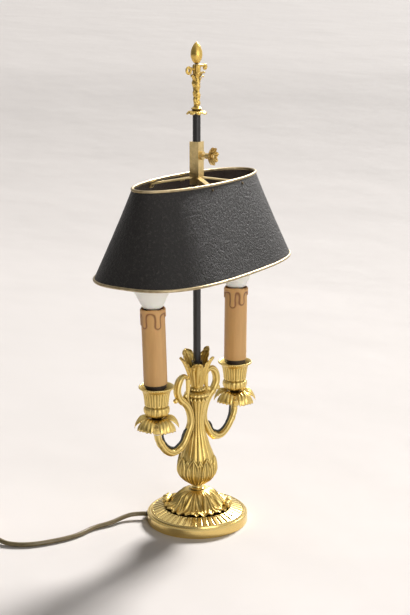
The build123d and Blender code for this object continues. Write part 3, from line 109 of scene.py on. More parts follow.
class LampFinish(bpy.types.PropertyGroup):
    """The colours of the lamp's finishes."""

    gilt: FloatVectorProperty(
        name="Gilding", description="Colour of the gilt bronze where it is clean", subtype="COLOR", size=3,
        min=0, max=1, default=(0.80, 0.615, 0.225))
    # The hollows' colour: part real patina, part painted shade.
    gilt_recess: FloatVectorProperty(
        name="Gilding in recesses", description="Colour of the patina in the hollows", subtype="COLOR",
        size=3, min=0, max=1, default=(0.115, 0.075, 0.020))
    shade_paint: FloatVectorProperty(
        name="Shade outside", description="Colour of the grained paint outside", subtype="COLOR", size=3,
        min=0, max=1, default=(0.0145, 0.0130, 0.0118))
    shade_lining: FloatVectorProperty(
        name="Shade inside", description="Colour of the paint inside", subtype="COLOR", size=3,
        min=0, max=1, default=(0.045, 0.030, 0.022))
    sleeve: FloatVectorProperty(
        name="Candle sleeve", description="Colour of the card candle", subtype="COLOR", size=3,
        min=0, max=1, default=(0.78, 0.455, 0.165))
    # Also the colour of the painted shade inside each sleeve's mouth.
    drip_line: FloatVectorProperty(
        name="Drip outline", description="Colour in the corners round the wax drips", subtype="COLOR", size=3,
        min=0, max=1, default=(0.235, 0.080, 0.022))
    cord: FloatVectorProperty(
        name="Cord", description="Colour of the cord's cover", subtype="COLOR", size=3,
        min=0, max=1, default=(0.235, 0.180, 0.080))


class LampSizes(bpy.types.PropertyGroup):
    """Counts and depths of the ornament."""

    mound_relief: FloatProperty(
        name="Mound relief", description="Depth of the valleys between the leaves of the mound",
        subtype="DISTANCE", unit="LENGTH", min=0, max=0.004, default=0.0016)
    lotus_relief: FloatProperty(
        name="Lotus relief", description="How far the pointed petals stand out of the stem",
        subtype="DISTANCE", unit="LENGTH", min=0, max=0.003, default=0.0015)
    pan_leaves: IntProperty(
        name="Pan leaves", description="Number of drooping leaves of a drip pan", min=3, max=9, default=5)
    cup_flutes: IntProperty(
        name="Cup flutes", description="Number of flutes round a candle cup", min=6, max=32, default=14)
    stem_flutes: IntProperty(
        name="Stem flutes", description="Number of reeds up the neck of the stem", min=8, max=24, default=16)
    cord_diameter: FloatProperty(
        name="Cord diameter", description="Outer diameter of the cord",
        subtype="DISTANCE", unit="LENGTH", min=0.003, max=0.009, default=0.0052)
    cord_length: FloatProperty(
        name="Cord length", description="Length of the cord from the base to the plug",
        subtype="DISTANCE", unit="LENGTH", min=0.5, max=3, default=1.68)


# ================================================================ shapes
def blend(low, high, share):
    return low + (high - low) * share


def ease(value, low, high):
    """0 below low, 1 above high, and smooth between them."""
    share = min(1.0, max(0.0, (value - low) / (high - low)))
    return share * share * (3 - 2 * share)


def bump(value, centre, width):
    """A smooth ridge, 1 at its centre."""
    return math.exp(-((value - centre) / width) ** 2)


def sector(angle, count, turn=0.0):
    """The place of an angle within the nearest of count sectors, from -1 to 1, and that sector's number."""
    pitch = 360.0 / count
    place = (angle - turn) / pitch
    number = round(place)
    return 2 * (place - number), number % count


def curve_between(a, b, c, d, t):
    """The place at share t from b to c on the smooth curve through four points or values."""
    return 0.5 * (2 * b + (c - a) * t + (2 * a - 5 * b + 4 * c - d) * t * t
                  + (3 * b - a - 3 * c + d) * t ** 3)


def smooth_line(points, steps):
    """Points along a smooth curve through the given ones, evenly spread over its spans."""
    points = [Vector(p) for p in points]
    padded = [2 * points[0] - points[1], *points, 2 * points[-1] - points[-2]]
    line = []
    for i in range(steps + 1):
        place = min(len(points) - 1.000001, i / steps * (len(points) - 1))
        k = int(place)
        line.append(curve_between(*padded[k:k + 4], place - k))
    return line


def smooth_at(values, share):
    """A smooth value from an even list of them, at share of its length."""
    spans = len(values) - 1
    place = min(spans - 1e-6, max(0.0, share * spans))
    k = int(place)
    b, c = values[k], values[k + 1]
    a = values[k - 1] if k else 2 * b - c
    d = values[k + 2] if k + 2 <= spans else 2 * c - b
    return curve_between(a, b, c, d, place - k)


def spline_line(points, steps):
    """Points along the quadratic spline that has the given ones as its control points."""
    points = [Vector(p) for p in points]
    ends = [points[0]] + [(a + b) / 2 for a, b in zip(points[1:-2], points[2:-1])] + [points[-1]]
    line = []
    for i in range(steps + 1):
        place = min(len(ends) - 1.000001, i / steps * (len(ends) - 1))
        k = int(place)
        t = place - k
        line.append(ends[k] * (1 - t) ** 2 + points[k + 1] * 2 * t * (1 - t) + ends[k + 1] * t * t)
    return line


def round_axis(radius, angle, height, centre=(0.0, 0.0)):
    """A point in millimetres by radius, angle in degrees and height round an upright axis."""
    return Vector((centre[0] + radius * math.cos(math.radians(angle)),
                   centre[1] + radius * math.sin(math.radians(angle)), height))


def skin(rows, wrap=True, closed=False, start=None, end=None):
    """Vertices and faces over rows of points.

    wrap joins each row's ends, closed joins the last row to the first, and start and end are points that
    close the first and the last row.
    """
    across = len(rows[0])
    verts = [p for row in rows for p in row]
    faces = []
    last = len(rows) if closed else len(rows) - 1
    for i in range(last):
        low = i * across
        high = (i + 1) % len(rows) * across
        for j in range(across if wrap else across - 1):
            k = (j + 1) % across
            faces.append((low + j, low + k, high + k, high + j))
    for tip, base, turned in ((start, 0, True), (end, (len(rows) - 1) * across, False)):
        if tip is None:
            continue
        verts.append(tip)
        for j in range(across):
            k = (j + 1) % across
            pair = (base + k, base + j) if turned else (base + j, base + k)
            faces.append((*pair, len(verts) - 1))
    return verts, faces


def tube_rows(line, radius, around):
    """Rows of points round a line in the plane of the two arms.

    radius(share, angle) gives the reach from the line in millimetres.
    """
    rows = []
    for i, here in enumerate(line):
        along = (line[min(i + 1, len(line) - 1)] - line[max(i - 1, 0)]).normalized()
        out = ACROSS_ARMS.cross(along).normalized()
        row = []
        for j in range(around):
            angle = 360.0 * j / around
            reach = radius(i / (len(line) - 1), angle)
            turn = math.radians(angle)
            row.append(here + (out * math.cos(turn) + ACROSS_ARMS * math.sin(turn)) * reach)
        rows.append(row)
    return rows


def rows_round(values, around, point):
    """A closed row for each value. point(value, angle) gives the place at an angle in degrees."""
    return [[point(value, 360.0 * j / around) for j in range(around)] for value in values]


def ring_rows(profile, around, foot, centre=(0.0, 0.0)):
    """A plain round row for each (radius, height) of a profile, with the heights above foot."""
    return rows_round(profile, around, lambda ring, angle: round_axis(ring[0], angle, foot + ring[1], centre))


def bead(centre, radius, rings, around):
    """A small ball."""
    rows = []
    for i in range(1, rings):
        tilt = math.pi * i / rings
        rows.append([centre + Vector((radius * math.sin(tilt) * math.cos(2 * math.pi * j / around),
                                      radius * math.sin(tilt) * math.sin(2 * math.pi * j / around),
                                      -radius * math.cos(tilt))) for j in range(around)])
    return skin(rows, start=centre - UP * radius, end=centre + UP * radius)


def join(*shapes):
    """One list of vertices and one of faces from several shapes."""
    verts, faces = [], []
    for more_verts, more_faces in shapes:
        start = len(verts)
        verts += more_verts
        faces += [tuple(start + v for v in face) for face in more_faces]
    return verts, faces


CREASE_FULL = 0.06  # the crease mark at which a groove or a ridge counts in full
CREASE_SMOOTHING = 3


def crease_marks(mesh):
    """How hollow a mesh is at each vertex: below 0 on ridges and above 0 in grooves."""
    count = len(mesh.vertices)
    places = np.empty(count * 3)
    normals = np.empty(count * 3)
    ends = np.empty(len(mesh.edges) * 2, dtype=np.int32)
    mesh.vertices.foreach_get("co", places)
    mesh.vertices.foreach_get("normal", normals)
    mesh.edges.foreach_get("vertices", ends)
    places, normals = places.reshape(-1, 3), normals.reshape(-1, 3)
    first, second = ends[0::2], ends[1::2]
    along = places[second] - places[first]
    length = np.linalg.norm(along, axis=1) + 1e-9
    edges = np.bincount(first, minlength=count) + np.bincount(second, minlength=count) + 1e-9
    marks = (np.bincount(first, (along * normals[first]).sum(1) / length, count)
             - np.bincount(second, (along * normals[second]).sum(1) / length, count)) / edges
    for _ in range(CREASE_SMOOTHING):
        marks = (marks + (np.bincount(first, marks[second], count)
                          + np.bincount(second, marks[first], count)) / edges) / 2
    return marks


def add_piece(name, shape, material, body, stands_for=(), masks=None, thickness=0.0):
    """Makes a piece of the lamp from vertices in millimetres and faces, and puts it on its body."""
    verts, faces = shape
    mesh = bpy.data.meshes.new(name)
    mesh.from_pydata([Vector(v) * MM for v in verts], [], faces)
    shaped = bmesh.new()
    shaped.from_mesh(mesh)
    bmesh.ops.recalc_face_normals(shaped, faces=shaped.faces)
    shaped.to_mesh(mesh)
    shaped.free()
    mesh.shade_smooth()
    marks = crease_marks(mesh)
    # The ridge mask carries the gilding's painted highlight, the hollow mask its patina and painted shade.
    creases = {"hollow": np.clip(marks / CREASE_FULL, 0, 1), "ridge": np.clip(-marks / CREASE_FULL, 0, 1)}
    for mask, values in {**creases, **(masks or {})}.items():
        mesh.attributes.new(mask, "FLOAT", "POINT").data.foreach_set("value", values)
    mesh.materials.append(material)
    piece = bpy.data.objects.new(name, mesh)
    bpy.context.scene.collection.objects.link(piece)
    if thickness:
        solid = piece.modifiers.new("Thickness", "SOLIDIFY")
        solid.thickness = thickness * MM
        solid.offset = -1
    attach(piece, body)
    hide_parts(*stands_for)
    return piece


# ================================================================ finishes
class Finish:
    """A material under construction, with short ways to add and join its nodes."""

    SOCKETS = {
        "metallic": "Metallic", "specular": "Specular IOR Level", "coat": "Coat Weight",
        "sheen": "Sheen Weight", "subsurface": "Subsurface Weight", "subsurface_scale": "Subsurface Scale",
    }

    def __init__(self, name):
        self.material = bpy.data.materials.new(name)
        self.material.use_nodes = True
        self.tree = self.material.node_tree
        self.shader = self.tree.nodes["Principled BSDF"]
        self.place = self.tree.nodes.new("ShaderNodeTexCoord").outputs["Object"]

    def set(self, **values):
        for name, value in values.items():
            self.shader.inputs[self.SOCKETS[name]].default_value = value
        return self

    def node(self, kind, **options):
        made = self.tree.nodes.new(kind)
        for key, value in options.items():
            setattr(made, key, value)
        return made

    def link(self, source, target):
        self.tree.links.new(source, target)

    def noise(self, scale, detail=3.0, roughness=0.5, stretch=None):
        """Noise in object space. scale is in features per metre."""
        place = self.place
        if stretch:
            mapping = self.node("ShaderNodeMapping")
            mapping.inputs["Scale"].default_value = stretch
            self.link(place, mapping.inputs["Vector"])
            place = mapping.outputs["Vector"]
        made = self.node("ShaderNodeTexNoise")
        made.inputs["Scale"].default_value = scale
        made.inputs["Detail"].default_value = detail
        made.inputs["Roughness"].default_value = roughness
        self.link(place, made.inputs["Vector"])
        return made.outputs["Fac"]

    def span(self, source, low, high, to_low=0.0, to_high=1.0):
        """Maps a value from one range to another, and stops at its ends."""
        made = self.node("ShaderNodeMapRange")
        for socket, value in zip(("From Min", "From Max", "To Min", "To Max"), (low, high, to_low, to_high)):
            made.inputs[socket].default_value = value
        self.link(source, made.inputs["Value"])
        return made.outputs["Result"]

    def mix(self, share, first, second):
        """A colour between two colours or sockets."""
        made = self.node("ShaderNodeMix", data_type="RGBA")
        self.link(share, made.inputs[0])
        for socket, value in ((made.inputs[6], first), (made.inputs[7], second)):
            if isinstance(value, bpy.types.NodeSocket):
                self.link(value, socket)
            else:
                socket.default_value = (*value, 1.0)
        return made.outputs[2]

    def recess(self, distance, full=0.35, clean=0.9):
        """1 in the hollows of a shape and 0 on its open faces, by ambient occlusion: it marks where painted
        shade goes.
        """
        made = self.node("ShaderNodeAmbientOcclusion", samples=6)
        made.inputs["Distance"].default_value = distance
        return self.span(made.outputs["AO"], full, clean, 1.0, 0.0)

    def mask(self, name):
        made = self.node("ShaderNodeAttribute", attribute_name=name)
        return made.outputs["Fac"]

    def math(self, operation, first, second):
        made = self.node("ShaderNodeMath", operation=operation)
        for socket, value in zip(made.inputs, (first, second)):
            if isinstance(value, bpy.types.NodeSocket):
                self.link(value, socket)
            else:
                socket.default_value = value
        return made.outputs[0]

    def colour(self, source):
        self.link(source, self.shader.inputs["Base Color"])
        return self

    def rough(self, source):
        self.link(source, self.shader.inputs["Roughness"])
        return self

    def raised(self, source, distance, strength=1.0):
        made = self.node("ShaderNodeBump")
        made.inputs["Distance"].default_value = distance
        made.inputs["Strength"].default_value = strength
        self.link(source, made.inputs["Height"])
        self.link(made.outputs["Normal"], self.shader.inputs["Normal"])
        return self


def once(maker):
    """Makes a material the first time that it is asked for, and gives the same one after that."""
    made = {}

    def give():
        if maker.__name__ not in made:
            made[maker.__name__] = maker().material
        return made[maker.__name__]

    return give


def toned(colour, tone):
    """A colour with its red, green and blue scaled, and none of them above 1."""
    return [min(1.0, c * k) for c, k in zip(colour, tone)]


def plain(name, first, second, patches, polish, roughness, relief, depth, **values):
    """A finish that varies between two colours.

    patches, polish and relief each give the scale and detail of a noise: of the colour, of the roughness
    between its two ends, and of a relief of the given depth in metres.
    """
    made = Finish(name).set(**values)
    made.colour(made.mix(made.noise(*patches), first, second))
    made.rough(made.span(made.noise(*polish), 0.3, 0.7, *roughness))
    return made.raised(made.noise(*relief), depth)


def gilding(name, wear, grain, tint=(0.96, 0.94, 0.86), patina_and_shade=1.0, mottle=1.0, uneven=1.0):
    """Gilt bronze: paler on its ridges as a painted highlight, and olive-brown in the hollows, part real
    patina and part painted shade.

    wear is its roughness and uneven how much that varies, grain the chasing's depth in metres,
    patina_and_shade the darkness of the hollows, part real patina and part painted shade, and mottle the
    strength of the warmer patches.
    """
    colours = bpy.context.scene.lamp_finish
    made = Finish(name).set(metallic=1.0)
    gilt = toned(colours.gilt, tint)
    pale = toned(gilt, (1.10, 1.14, 1.35))
    warm = toned(gilt, (0.88, 0.80, 0.62))
    patches = made.mix(made.span(made.noise(70, 4), 0.38, 0.66, 0.0, mottle), gilt, warm)
    # Ridges mix towards a paler gilt: a painted highlight.
    painted_ridge_highlight = made.mix(made.math("MULTIPLY", made.mask("ridge"), 0.75), patches, pale)
    # Hollows darken by their curvature and by ambient occlusion: part real patina, part painted shade.
    groove = made.math("MAXIMUM", made.recess(0.005), made.mask("hollow"))
    hollow_patina_and_shade = made.math("MULTIPLY", groove, made.span(made.noise(380, 3), 0.25, 0.6, 0.72 * patina_and_shade, patina_and_shade))
    made.colour(made.mix(hollow_patina_and_shade, painted_ridge_highlight, colours.gilt_recess))
    made.rough(made.span(made.noise(260, 4, 0.6), 0.3, 0.7, wear - 0.05 * uneven, wear + 0.09 * uneven))
    return made.raised(made.noise(1300, 3, 0.6), grain)


@once
def cast_gilt():
    return gilding("Cast gilt bronze", 0.32, 0.00018, patina_and_shade=0.78)


@once
def leaf_gilt():
    return gilding("Leaf gilt bronze", 0.30, 0.00010, tint=(1.02, 0.98, 0.88), patina_and_shade=0.32, mottle=0.6)


@once
def mound_gilt():
    return gilding("Mound gilt bronze", 0.37, 0.00018, tint=(0.97, 0.93, 0.84), patina_and_shade=0.66)


@once
def turned_gilt():
    return gilding("Turned gilt bronze", 0.23, 0.000003, tint=(1.0, 0.98, 1.03), mottle=0.12, uneven=0.25)


@once
def bright_gilt():
    return gilding("Polished gilt bronze", 0.36, 0.00014, tint=(0.92, 0.82, 0.58))


@once
def aged_gilt():
    return gilding("Dark gilt bronze", 0.32, 0.00012, tint=(0.66, 0.56, 0.50))


def rolled_brass(name, pale, dull, roughness):
    """Rolled brass that varies between two tones of the gilding."""
    gilt = bpy.context.scene.lamp_finish.gilt
    made = Finish(name).set(metallic=1.0)
    made.colour(made.mix(made.span(made.noise(160, 4), 0.35, 0.7), toned(gilt, pale), toned(gilt, dull)))
    made.rough(made.span(made.noise(500, 4), 0.3, 0.7, *roughness))
    return made.raised(made.noise(900, 2), 0.00003)


@once
def brass_sheet():
    """Dull gilt square stock and bars."""
    return rolled_brass("Rolled brass", (1.10, 1.10, 1.45), (0.86, 0.87, 1.10), (0.26, 0.42))


@once
def rim_brass():
    """Muted, half worn brass of the rolled rims."""
    return rolled_brass("Muted rim brass", (0.60, 0.63, 1.05), (0.40, 0.40, 0.60), (0.36, 0.52))


@once
def dull_rivet():
    """Dark, half worn brass of the rivets through the shade."""
    made = Finish("Darkened rivets").set(metallic=0.8)
    worn = made.span(made.noise(700, 4), 0.35, 0.65)
    made.colour(made.mix(worn, (0.030, 0.026, 0.020), (0.24, 0.17, 0.08)))
    made.rough(made.span(made.noise(900, 3), 0.3, 0.7, 0.35, 0.55))
    return made.raised(made.noise(1200, 2), 0.00003)


@once
def black_rod():
    return plain("Blackened steel", (0.011, 0.011, 0.012), (0.028, 0.027, 0.027), (300, 4),
                 (700, 4), (0.28, 0.45), (1500, 2), 0.00003, specular=0.5)


@once
def grained_paint():
    """The shade's paint: grained outside with lighter specks as painted glints, dark brown inside."""
    colours = bpy.context.scene.lamp_finish
    made = Finish("Grained shade paint")
    coarse = made.noise(330, 4, 0.6)
    fine = made.noise(900, 3, 0.65)
    grain = made.math("ADD", coarse, made.math("MULTIPLY", fine, 0.55))
    # Lighter specks of colour where both noises peak: painted glints on the grain.
    painted_glints = made.span(made.math("MULTIPLY", coarse, fine), 0.27, 0.38)
    pale = toned(colours.shade_paint, (3.6, 3.6, 3.6))
    outside = made.mix(made.math("MULTIPLY", painted_glints, 0.8), colours.shade_paint, pale)
    # Outside, the surface faces away from the lamp's axis.
    flat = made.node("ShaderNodeVectorMath", operation="MULTIPLY")
    flat.inputs[1].default_value = (1, 1, 0)
    facing = made.node("ShaderNodeVectorMath", operation="DOT_PRODUCT")
    made.link(made.place, flat.inputs[0])
    made.link(flat.outputs[0], facing.inputs[0])
    made.link(made.tree.nodes["Texture Coordinate"].outputs["Normal"], facing.inputs[1])
    made.colour(made.mix(made.span(facing.outputs["Value"], -0.001, 0.001), colours.shade_lining, outside))
    made.rough(made.span(fine, 0.3, 0.7, 0.40, 0.62))
    made.set(specular=0.33)
    return made.raised(grain, 0.0014)


@once
def sleeve_card():
    """Tan card with wax-like drips, brown in the corners round them, with painted shade inside its mouth."""
    colours = bpy.context.scene.lamp_finish
    made = Finish("Candle sleeve")
    streaks = made.noise(120, 4, 0.6, stretch=(1.0, 1.0, 0.12))
    darker = toned(colours.sleeve, (0.84, 0.78, 0.72))
    paper = made.mix(made.span(streaks, 0.3, 0.72), colours.sleeve, darker)
    made.colour(made.mix(made.mask("outline"), paper, colours.drip_line))
    made.rough(made.span(made.noise(400, 3), 0.3, 0.7, 0.42, 0.58))
    made.set(subsurface=0.06, subsurface_scale=0.004)
    return made.raised(made.noise(900, 3), 0.00005)


@once
def frosted_bulb():
    made = Finish("Frosted bulb glass")
    made.colour(made.mix(made.span(made.noise(60, 2), 0.3, 0.7), (1.0, 0.94, 0.86), (0.98, 0.91, 0.83)))
    made.rough(made.span(made.noise(900, 2), 0.3, 0.7, 0.30, 0.40))
    made.set(subsurface=0.15, subsurface_scale=0.006)
    return made.raised(made.noise(2500, 2), 0.00002)


@once
def holder_plastic():
    return plain("Black holder", (0.020, 0.013, 0.010), (0.042, 0.028, 0.020), (250, 3),
                 (800, 2), (0.42, 0.60), (1600, 2), 0.00004)


@once
def bright_brass():
    return plain("Contact brass", (0.83, 0.64, 0.31), (0.66, 0.48, 0.20), (220, 3),
                 (600, 3), (0.18, 0.32), (1200, 2), 0.00002, metallic=1.0)


@once
def plated_steel():
    return plain("Plated steel", (0.72, 0.71, 0.69), (0.55, 0.54, 0.52), (300, 3),
                 (700, 3), (0.16, 0.32), (1500, 2), 0.00002, metallic=1.0)


@once
def cast_iron():
    return plain("Cast iron", (0.10, 0.095, 0.09), (0.17, 0.16, 0.15), (150, 4),
                 (300, 3), (0.6, 0.8), (500, 4), 0.0002, metallic=0.6)


@once
def green_felt():
    return plain("Green felt", (0.018, 0.052, 0.026), (0.045, 0.095, 0.05), (900, 4, 0.7),
                 (1500, 2), (0.85, 0.98), (2200, 4, 0.8), 0.0003, sheen=0.4)


@once
def cord_cover():
    """Smooth olive-gold cover of the cord."""
    colours = bpy.context.scene.lamp_finish
    made = Finish("Cord cover")
    darker = toned(colours.cord, (0.72, 0.70, 0.64))
    made.colour(made.mix(made.span(made.noise(130, 4), 0.3, 0.7), colours.cord, darker))
    made.rough(made.span(made.noise(800, 3), 0.3, 0.7, 0.26, 0.40))
    made.set(coat=0.25)
    return made.raised(made.noise(600, 3), 0.0001)


@once
def wire_cover():
    return plain("Black wire cover", (0.012, 0.014, 0.012), (0.030, 0.034, 0.028), (300, 3),
                 (700, 2), (0.30, 0.42), (1400, 2), 0.00002)


@once
def moulded_brown():
    return plain("Moulded brown", (0.085, 0.052, 0.020), (0.12, 0.078, 0.032), (180, 4),
                 (1500, 2), (0.30, 0.45), (2600, 2), 0.00005)


@once
def rocker_cream():
    return plain("Cream rocker", (0.62, 0.52, 0.34), (0.55, 0.45, 0.28), (140, 3),
                 (600, 2), (0.22, 0.34), (1500, 2), 0.00002)


@once
def backdrop_paper():
    """Matt paper with soft waves, wider across the picture than into it."""
    made = Finish("Backdrop paper")
    floor = bpy.context.scene.lamp_stage.floor_colour
    darker = toned(floor, (0.975, 0.975, 0.975))
    made.colour(made.mix(made.noise(3, 2), floor, darker))
    made.rough(made.span(made.noise(60, 2), 0.3, 0.7, 0.85, 0.95))
    return made.raised(made.noise(2.6, 3, 0.45, stretch=(1.0, 1.0, 0.4)), 0.05, 0.2)


def dress(material, *nodes):
    """Gives carried-over nodes a finish."""
    for node in nodes:
        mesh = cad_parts[node].data
        mesh.materials.clear()
        mesh.materials.append(material)


# ================================================================ stage
CAMERA_PLACE = (-1.0102, -0.9058, 0.5830)
CAMERA_PITCH = 13.67  # how far it looks down, in degrees
CAMERA_HEADING = -48.5
SENSOR_WIDTH = 36.0
AWAY = Vector((0.7490, 0.6626, 0))  # level, from the camera towards the lamp
RIGHT = Vector((0.6626, -0.7490, 0))  # level, towards the right of the camera's view
WINDOW_WAY = RIGHT * 0.75 + AWAY * 1.30 + UP * 1.05  # from the lamp towards the window
WINDOW_SPREAD = 14.0  # how wide the window's light looks from the lamp, in degrees
FILL_PLACE = RIGHT * 0.9 - AWAY * 1.6 + UP * 0.75
OVERHEAD_PLACE = AWAY * 0.6 + RIGHT * 0.3 + UP * 1.9
OVERHEAD_SHARE = 0.5  # of the fill's power
LIT_HEIGHT = 0.22  # the height on the lamp that the lights point at
ROOM_BRIGHT_WAY = RIGHT * 0.60 + AWAY * 0.35 + UP * 0.55
ROOM_DARK = (0.07, 0.067, 0.065, 1)
ROOM_BRIGHT = (1.0, 0.985, 0.975, 1)
# The paper, in metres: flat under the lamp, then rising in a gentle slope far behind it.
PAPER_NEAR = -3.5
SLOPE_START = 0.9
SLOPE_LENGTH = 9.0
SLOPE = math.radians(5.5)
SLOPE_STEPS = 24
SLOPE_EASE_STEPS = 8  # the steps over which the slope begins
PAPER_HALF_WIDTH = 5.0


class LAMP_OT_stage(bpy.types.Operator):
    """Makes the camera, the lights, the room's light and the paper that the lamp stands on"""

    bl_idname = "lamp.stage"
    bl_label = "Camera, Lights and Floor"

    def execute(self, context):
        settings = context.scene.lamp_stage
        camera = bpy.data.cameras.new("Camera")
        camera.lens = settings.lens
        camera.sensor_width = SENSOR_WIDTH
        camera.clip_end = 50
        view = bpy.data.objects.new("Camera", camera)
        view.location = CAMERA_PLACE
        view.rotation_euler = (math.radians(90 - CAMERA_PITCH), 0, math.radians(CAMERA_HEADING))
        context.scene.collection.objects.link(view)
        context.scene.camera = view
        context.scene.view_settings.view_transform = "Standard"
        context.scene.view_settings.look = "None"

        target = UP * LIT_HEIGHT
        lights = (
            ("Fill", settings.fill_power, 1.2, FILL_PLACE, (1.0, 0.975, 0.95)),
            ("Overhead", settings.fill_power * OVERHEAD_SHARE, 1.6, OVERHEAD_PLACE, (1.0, 0.985, 0.975)),
        )
        for name, power, size, place, colour in lights:
            light = bpy.data.lights.new(name, "AREA")
            light.energy = power
            light.size = size
            light.color = colour
            lamp = bpy.data.objects.new(name, light)
            lamp.location = place
            lamp.rotation_euler = (target - place).to_track_quat("-Z", "Y").to_euler()
            context.scene.collection.objects.link(lamp)
        window = bpy.data.lights.new("Window", "SUN")
        window.energy = settings.window_strength
        window.angle = math.radians(WINDOW_SPREAD)
        window.color = (1.0, 0.985, 0.97)
        shining = bpy.data.objects.new("Window", window)
        shining.location = WINDOW_WAY
        shining.rotation_euler = (-shining.location).to_track_quat("-Z", "Y").to_euler()
        context.scene.collection.objects.link(shining)

        world = bpy.data.worlds.new("Room")
        world.use_nodes = True
        # The room is seen in the polished metal, but leaves the shadows on the paper deep.
        world.cycles_visibility.diffuse = False
        context.scene.world = world
        tree = world.node_tree
        sky = tree.nodes["Background"]
        sky.inputs["Strength"].default_value = settings.room_strength
        place = tree.nodes.new("ShaderNodeTexCoord")
        side = tree.nodes.new("ShaderNodeVectorMath")
        side.operation = "DOT_PRODUCT"
        side.inputs[1].default_value = ROOM_BRIGHT_WAY
        ramp = tree.nodes.new("ShaderNodeValToRGB")
        for stop, position, colour in zip(ramp.color_ramp.elements, (0.22, 0.78), (ROOM_DARK, ROOM_BRIGHT)):
            stop.color = colour
            stop.position = position
        share = tree.nodes.new("ShaderNodeMapRange")
        share.inputs["From Min"].default_value = -1
        tree.links.new(place.outputs["Generated"], side.inputs[0])
        tree.links.new(side.outputs["Value"], share.inputs["Value"])
        tree.links.new(share.outputs["Result"], ramp.inputs["Fac"])
        tree.links.new(ramp.outputs["Color"], sky.inputs["Color"])

        section = [(PAPER_NEAR, 0.0), (SLOPE_START, 0.0)]
        for step in range(1, SLOPE_STEPS + 1):
            run = SLOPE_LENGTH * step / SLOPE_STEPS
            section.append((SLOPE_START + run, run * math.tan(SLOPE) * min(1.0, step / SLOPE_EASE_STEPS)))
        rows = [[AWAY * far + UP * high + RIGHT * (PAPER_HALF_WIDTH * side) for side in (-1, 1)]
                for far, high in section]
        verts, faces = skin(rows, wrap=False)
        mesh = bpy.data.meshes.new("Backdrop")
        mesh.from_pydata(verts, [], faces)
        mesh.shade_smooth()
        mesh.materials.append(backdrop_paper())
        backdrop = bpy.data.objects.new("Backdrop", mesh)
        backdrop.visible_shadow = False
        context.scene.collection.objects.link(backdrop)
        return {"FINISHED"}


# ================================================================ cord
# The cord's middle line in metres: out of the base, over the table, through the switch, and to the coil.
LEAD_POINTS = [
    (-0.03896, 0.04404, 0.0062),
    (-0.04824, 0.05452, 0.0062),
    (-0.0605, 0.0596, 0.0050),
    (-0.0793, 0.0603, 0.0034),
    (-0.1010, 0.0680, 0.0026),
    (-0.1285, 0.0650, 0.0026),
    (-0.1530, 0.0720, 0.0026),
    (-0.1800, 0.0850, 0.0026),
    (-0.1950, 0.1040, 0.0026),
    (-0.1976, 0.1198, 0.0042),
    (-0.19554, 0.13370, 0.0070),
    (-0.19155, 0.14287, 0.0070),
    (-0.18417, 0.15984, 0.0070),
    (-0.1768, 0.1768, 0.0070),
    (-0.16942, 0.19376, 0.0070),
    (-0.16205, 0.21073, 0.0070),
    (-0.15806, 0.21990, 0.0070),
    (-0.1517, 0.2350, 0.0036),
]
TAIL_POINTS = [
    (-0.2244, 0.2382, 0.0126),
    (-0.2260, 0.2243, 0.0098),
    (-0.2278, 0.2114, 0.0070),
    (-0.2290, 0.2015, 0.0070),
]
COIL_CENTRE = Vector((-0.1872, 0.2500, 0.0))
COIL_MID_RADIUS = 0.031
COIL_START = -3.0  # position angle where the cord joins the lowest turn, in degrees
COIL_STEP = 22.5
COIL_SHIFT = 45.0  # the sector in which a turn steps sideways or climbs


def coil_points(pitch):
    """Points round the coil: three touching turns going in, three going out on top of them, and one more."""
    outer, middle, inner = COIL_MID_RADIUS + pitch, COIL_MID_RADIUS, COIL_MID_RADIUS - pitch
    low, centre, high = pitch / 2, 1.5 * pitch, 2.5 * pitch
    full, shift = 360.0, COIL_SHIFT
    # Angle travelled since the start, with the radius and height that hold from there.
    turned = 2 * full
    stops = [(0, outer, low), (full - shift, outer, low), (full, middle, low), (turned - shift, middle, low),
             (turned, inner, low)]
    stops += [(turned + full - 2 * shift, inner, low), (turned + full - shift, inner, centre),
              (turned + 2 * full - 3 * shift, inner, centre), (turned + 2 * full - 2 * shift, middle, centre),
              (turned + 3 * full - 3 * shift, middle, centre), (turned + 3 * full - 2 * shift, outer, centre),
              (turned + 4 * full - 4 * shift, outer, centre), (turned + 4 * full - 3 * shift, outer, high),
              (turned + 5 * full - 4 * shift, outer, high)]
    points = []
    reach = 1 / math.cos(math.radians(COIL_STEP) / 2)
    steps = int(stops[-1][0] / COIL_STEP)
    for step in range(steps + 1):
        travelled = step * COIL_STEP
        before = max((s for s in stops if s[0] <= travelled + 1e-6), key=lambda s: s[0])
        after = min((s for s in stops if s[0] > travelled + 1e-6), key=lambda s: s[0], default=before)
        share = (travelled - before[0]) / (after[0] - before[0]) if after[0] > before[0] else 0.0
        radius = blend(before[1], after[1], share) * reach
        height = blend(before[2], after[2], share)
        angle = math.radians(COIL_START + travelled)
        points.append(COIL_CENTRE + Vector((radius * math.cos(angle), radius * math.sin(angle), height)))
    return points


class LAMP_OT_cord(bpy.types.Operator):
    """Makes the cord from the base through its switch and its coil to the plug"""

    bl_idname = "lamp.cord"
    bl_label = "Cord, Switch and Plug"

    def execute(self, context):
        sizes = context.scene.lamp_sizes
        diameter = sizes.cord_diameter
        points = [*LEAD_POINTS, *coil_points(diameter), *TAIL_POINTS]
        curve = bpy.data.curves.new("mains_cord", "CURVE")
        curve.dimensions = "3D"
        spline = curve.splines.new("NURBS")
        spline.points.add(len(points) - 1)
        for control, place in zip(spline.points, points):
            control.co = (*place, 1.0)
        spline.order_u = 3
        spline.use_endpoint_u = True
        curve.bevel_depth = diameter / 2
        curve.bevel_resolution = 4
        curve.resolution_u = 6
        curve.materials.append(cord_cover())
        cord = bpy.data.objects.new("mains_cord", curve)
        context.scene.collection.objects.link(cord)
        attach(cord, "lamp_body")
        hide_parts("cord_lead", "cord_mid", "cord_coil", "cord_tail")
        dress(holder_plastic(), "cord_gland")
        dress(moulded_brown(), "switch_top", "switch_bottom", "plug_body")
        dress(rocker_cream(), "switch_rocker")
        dress(plated_steel(), "switch_screws", "plug_pins")
        return {"FINISHED"}


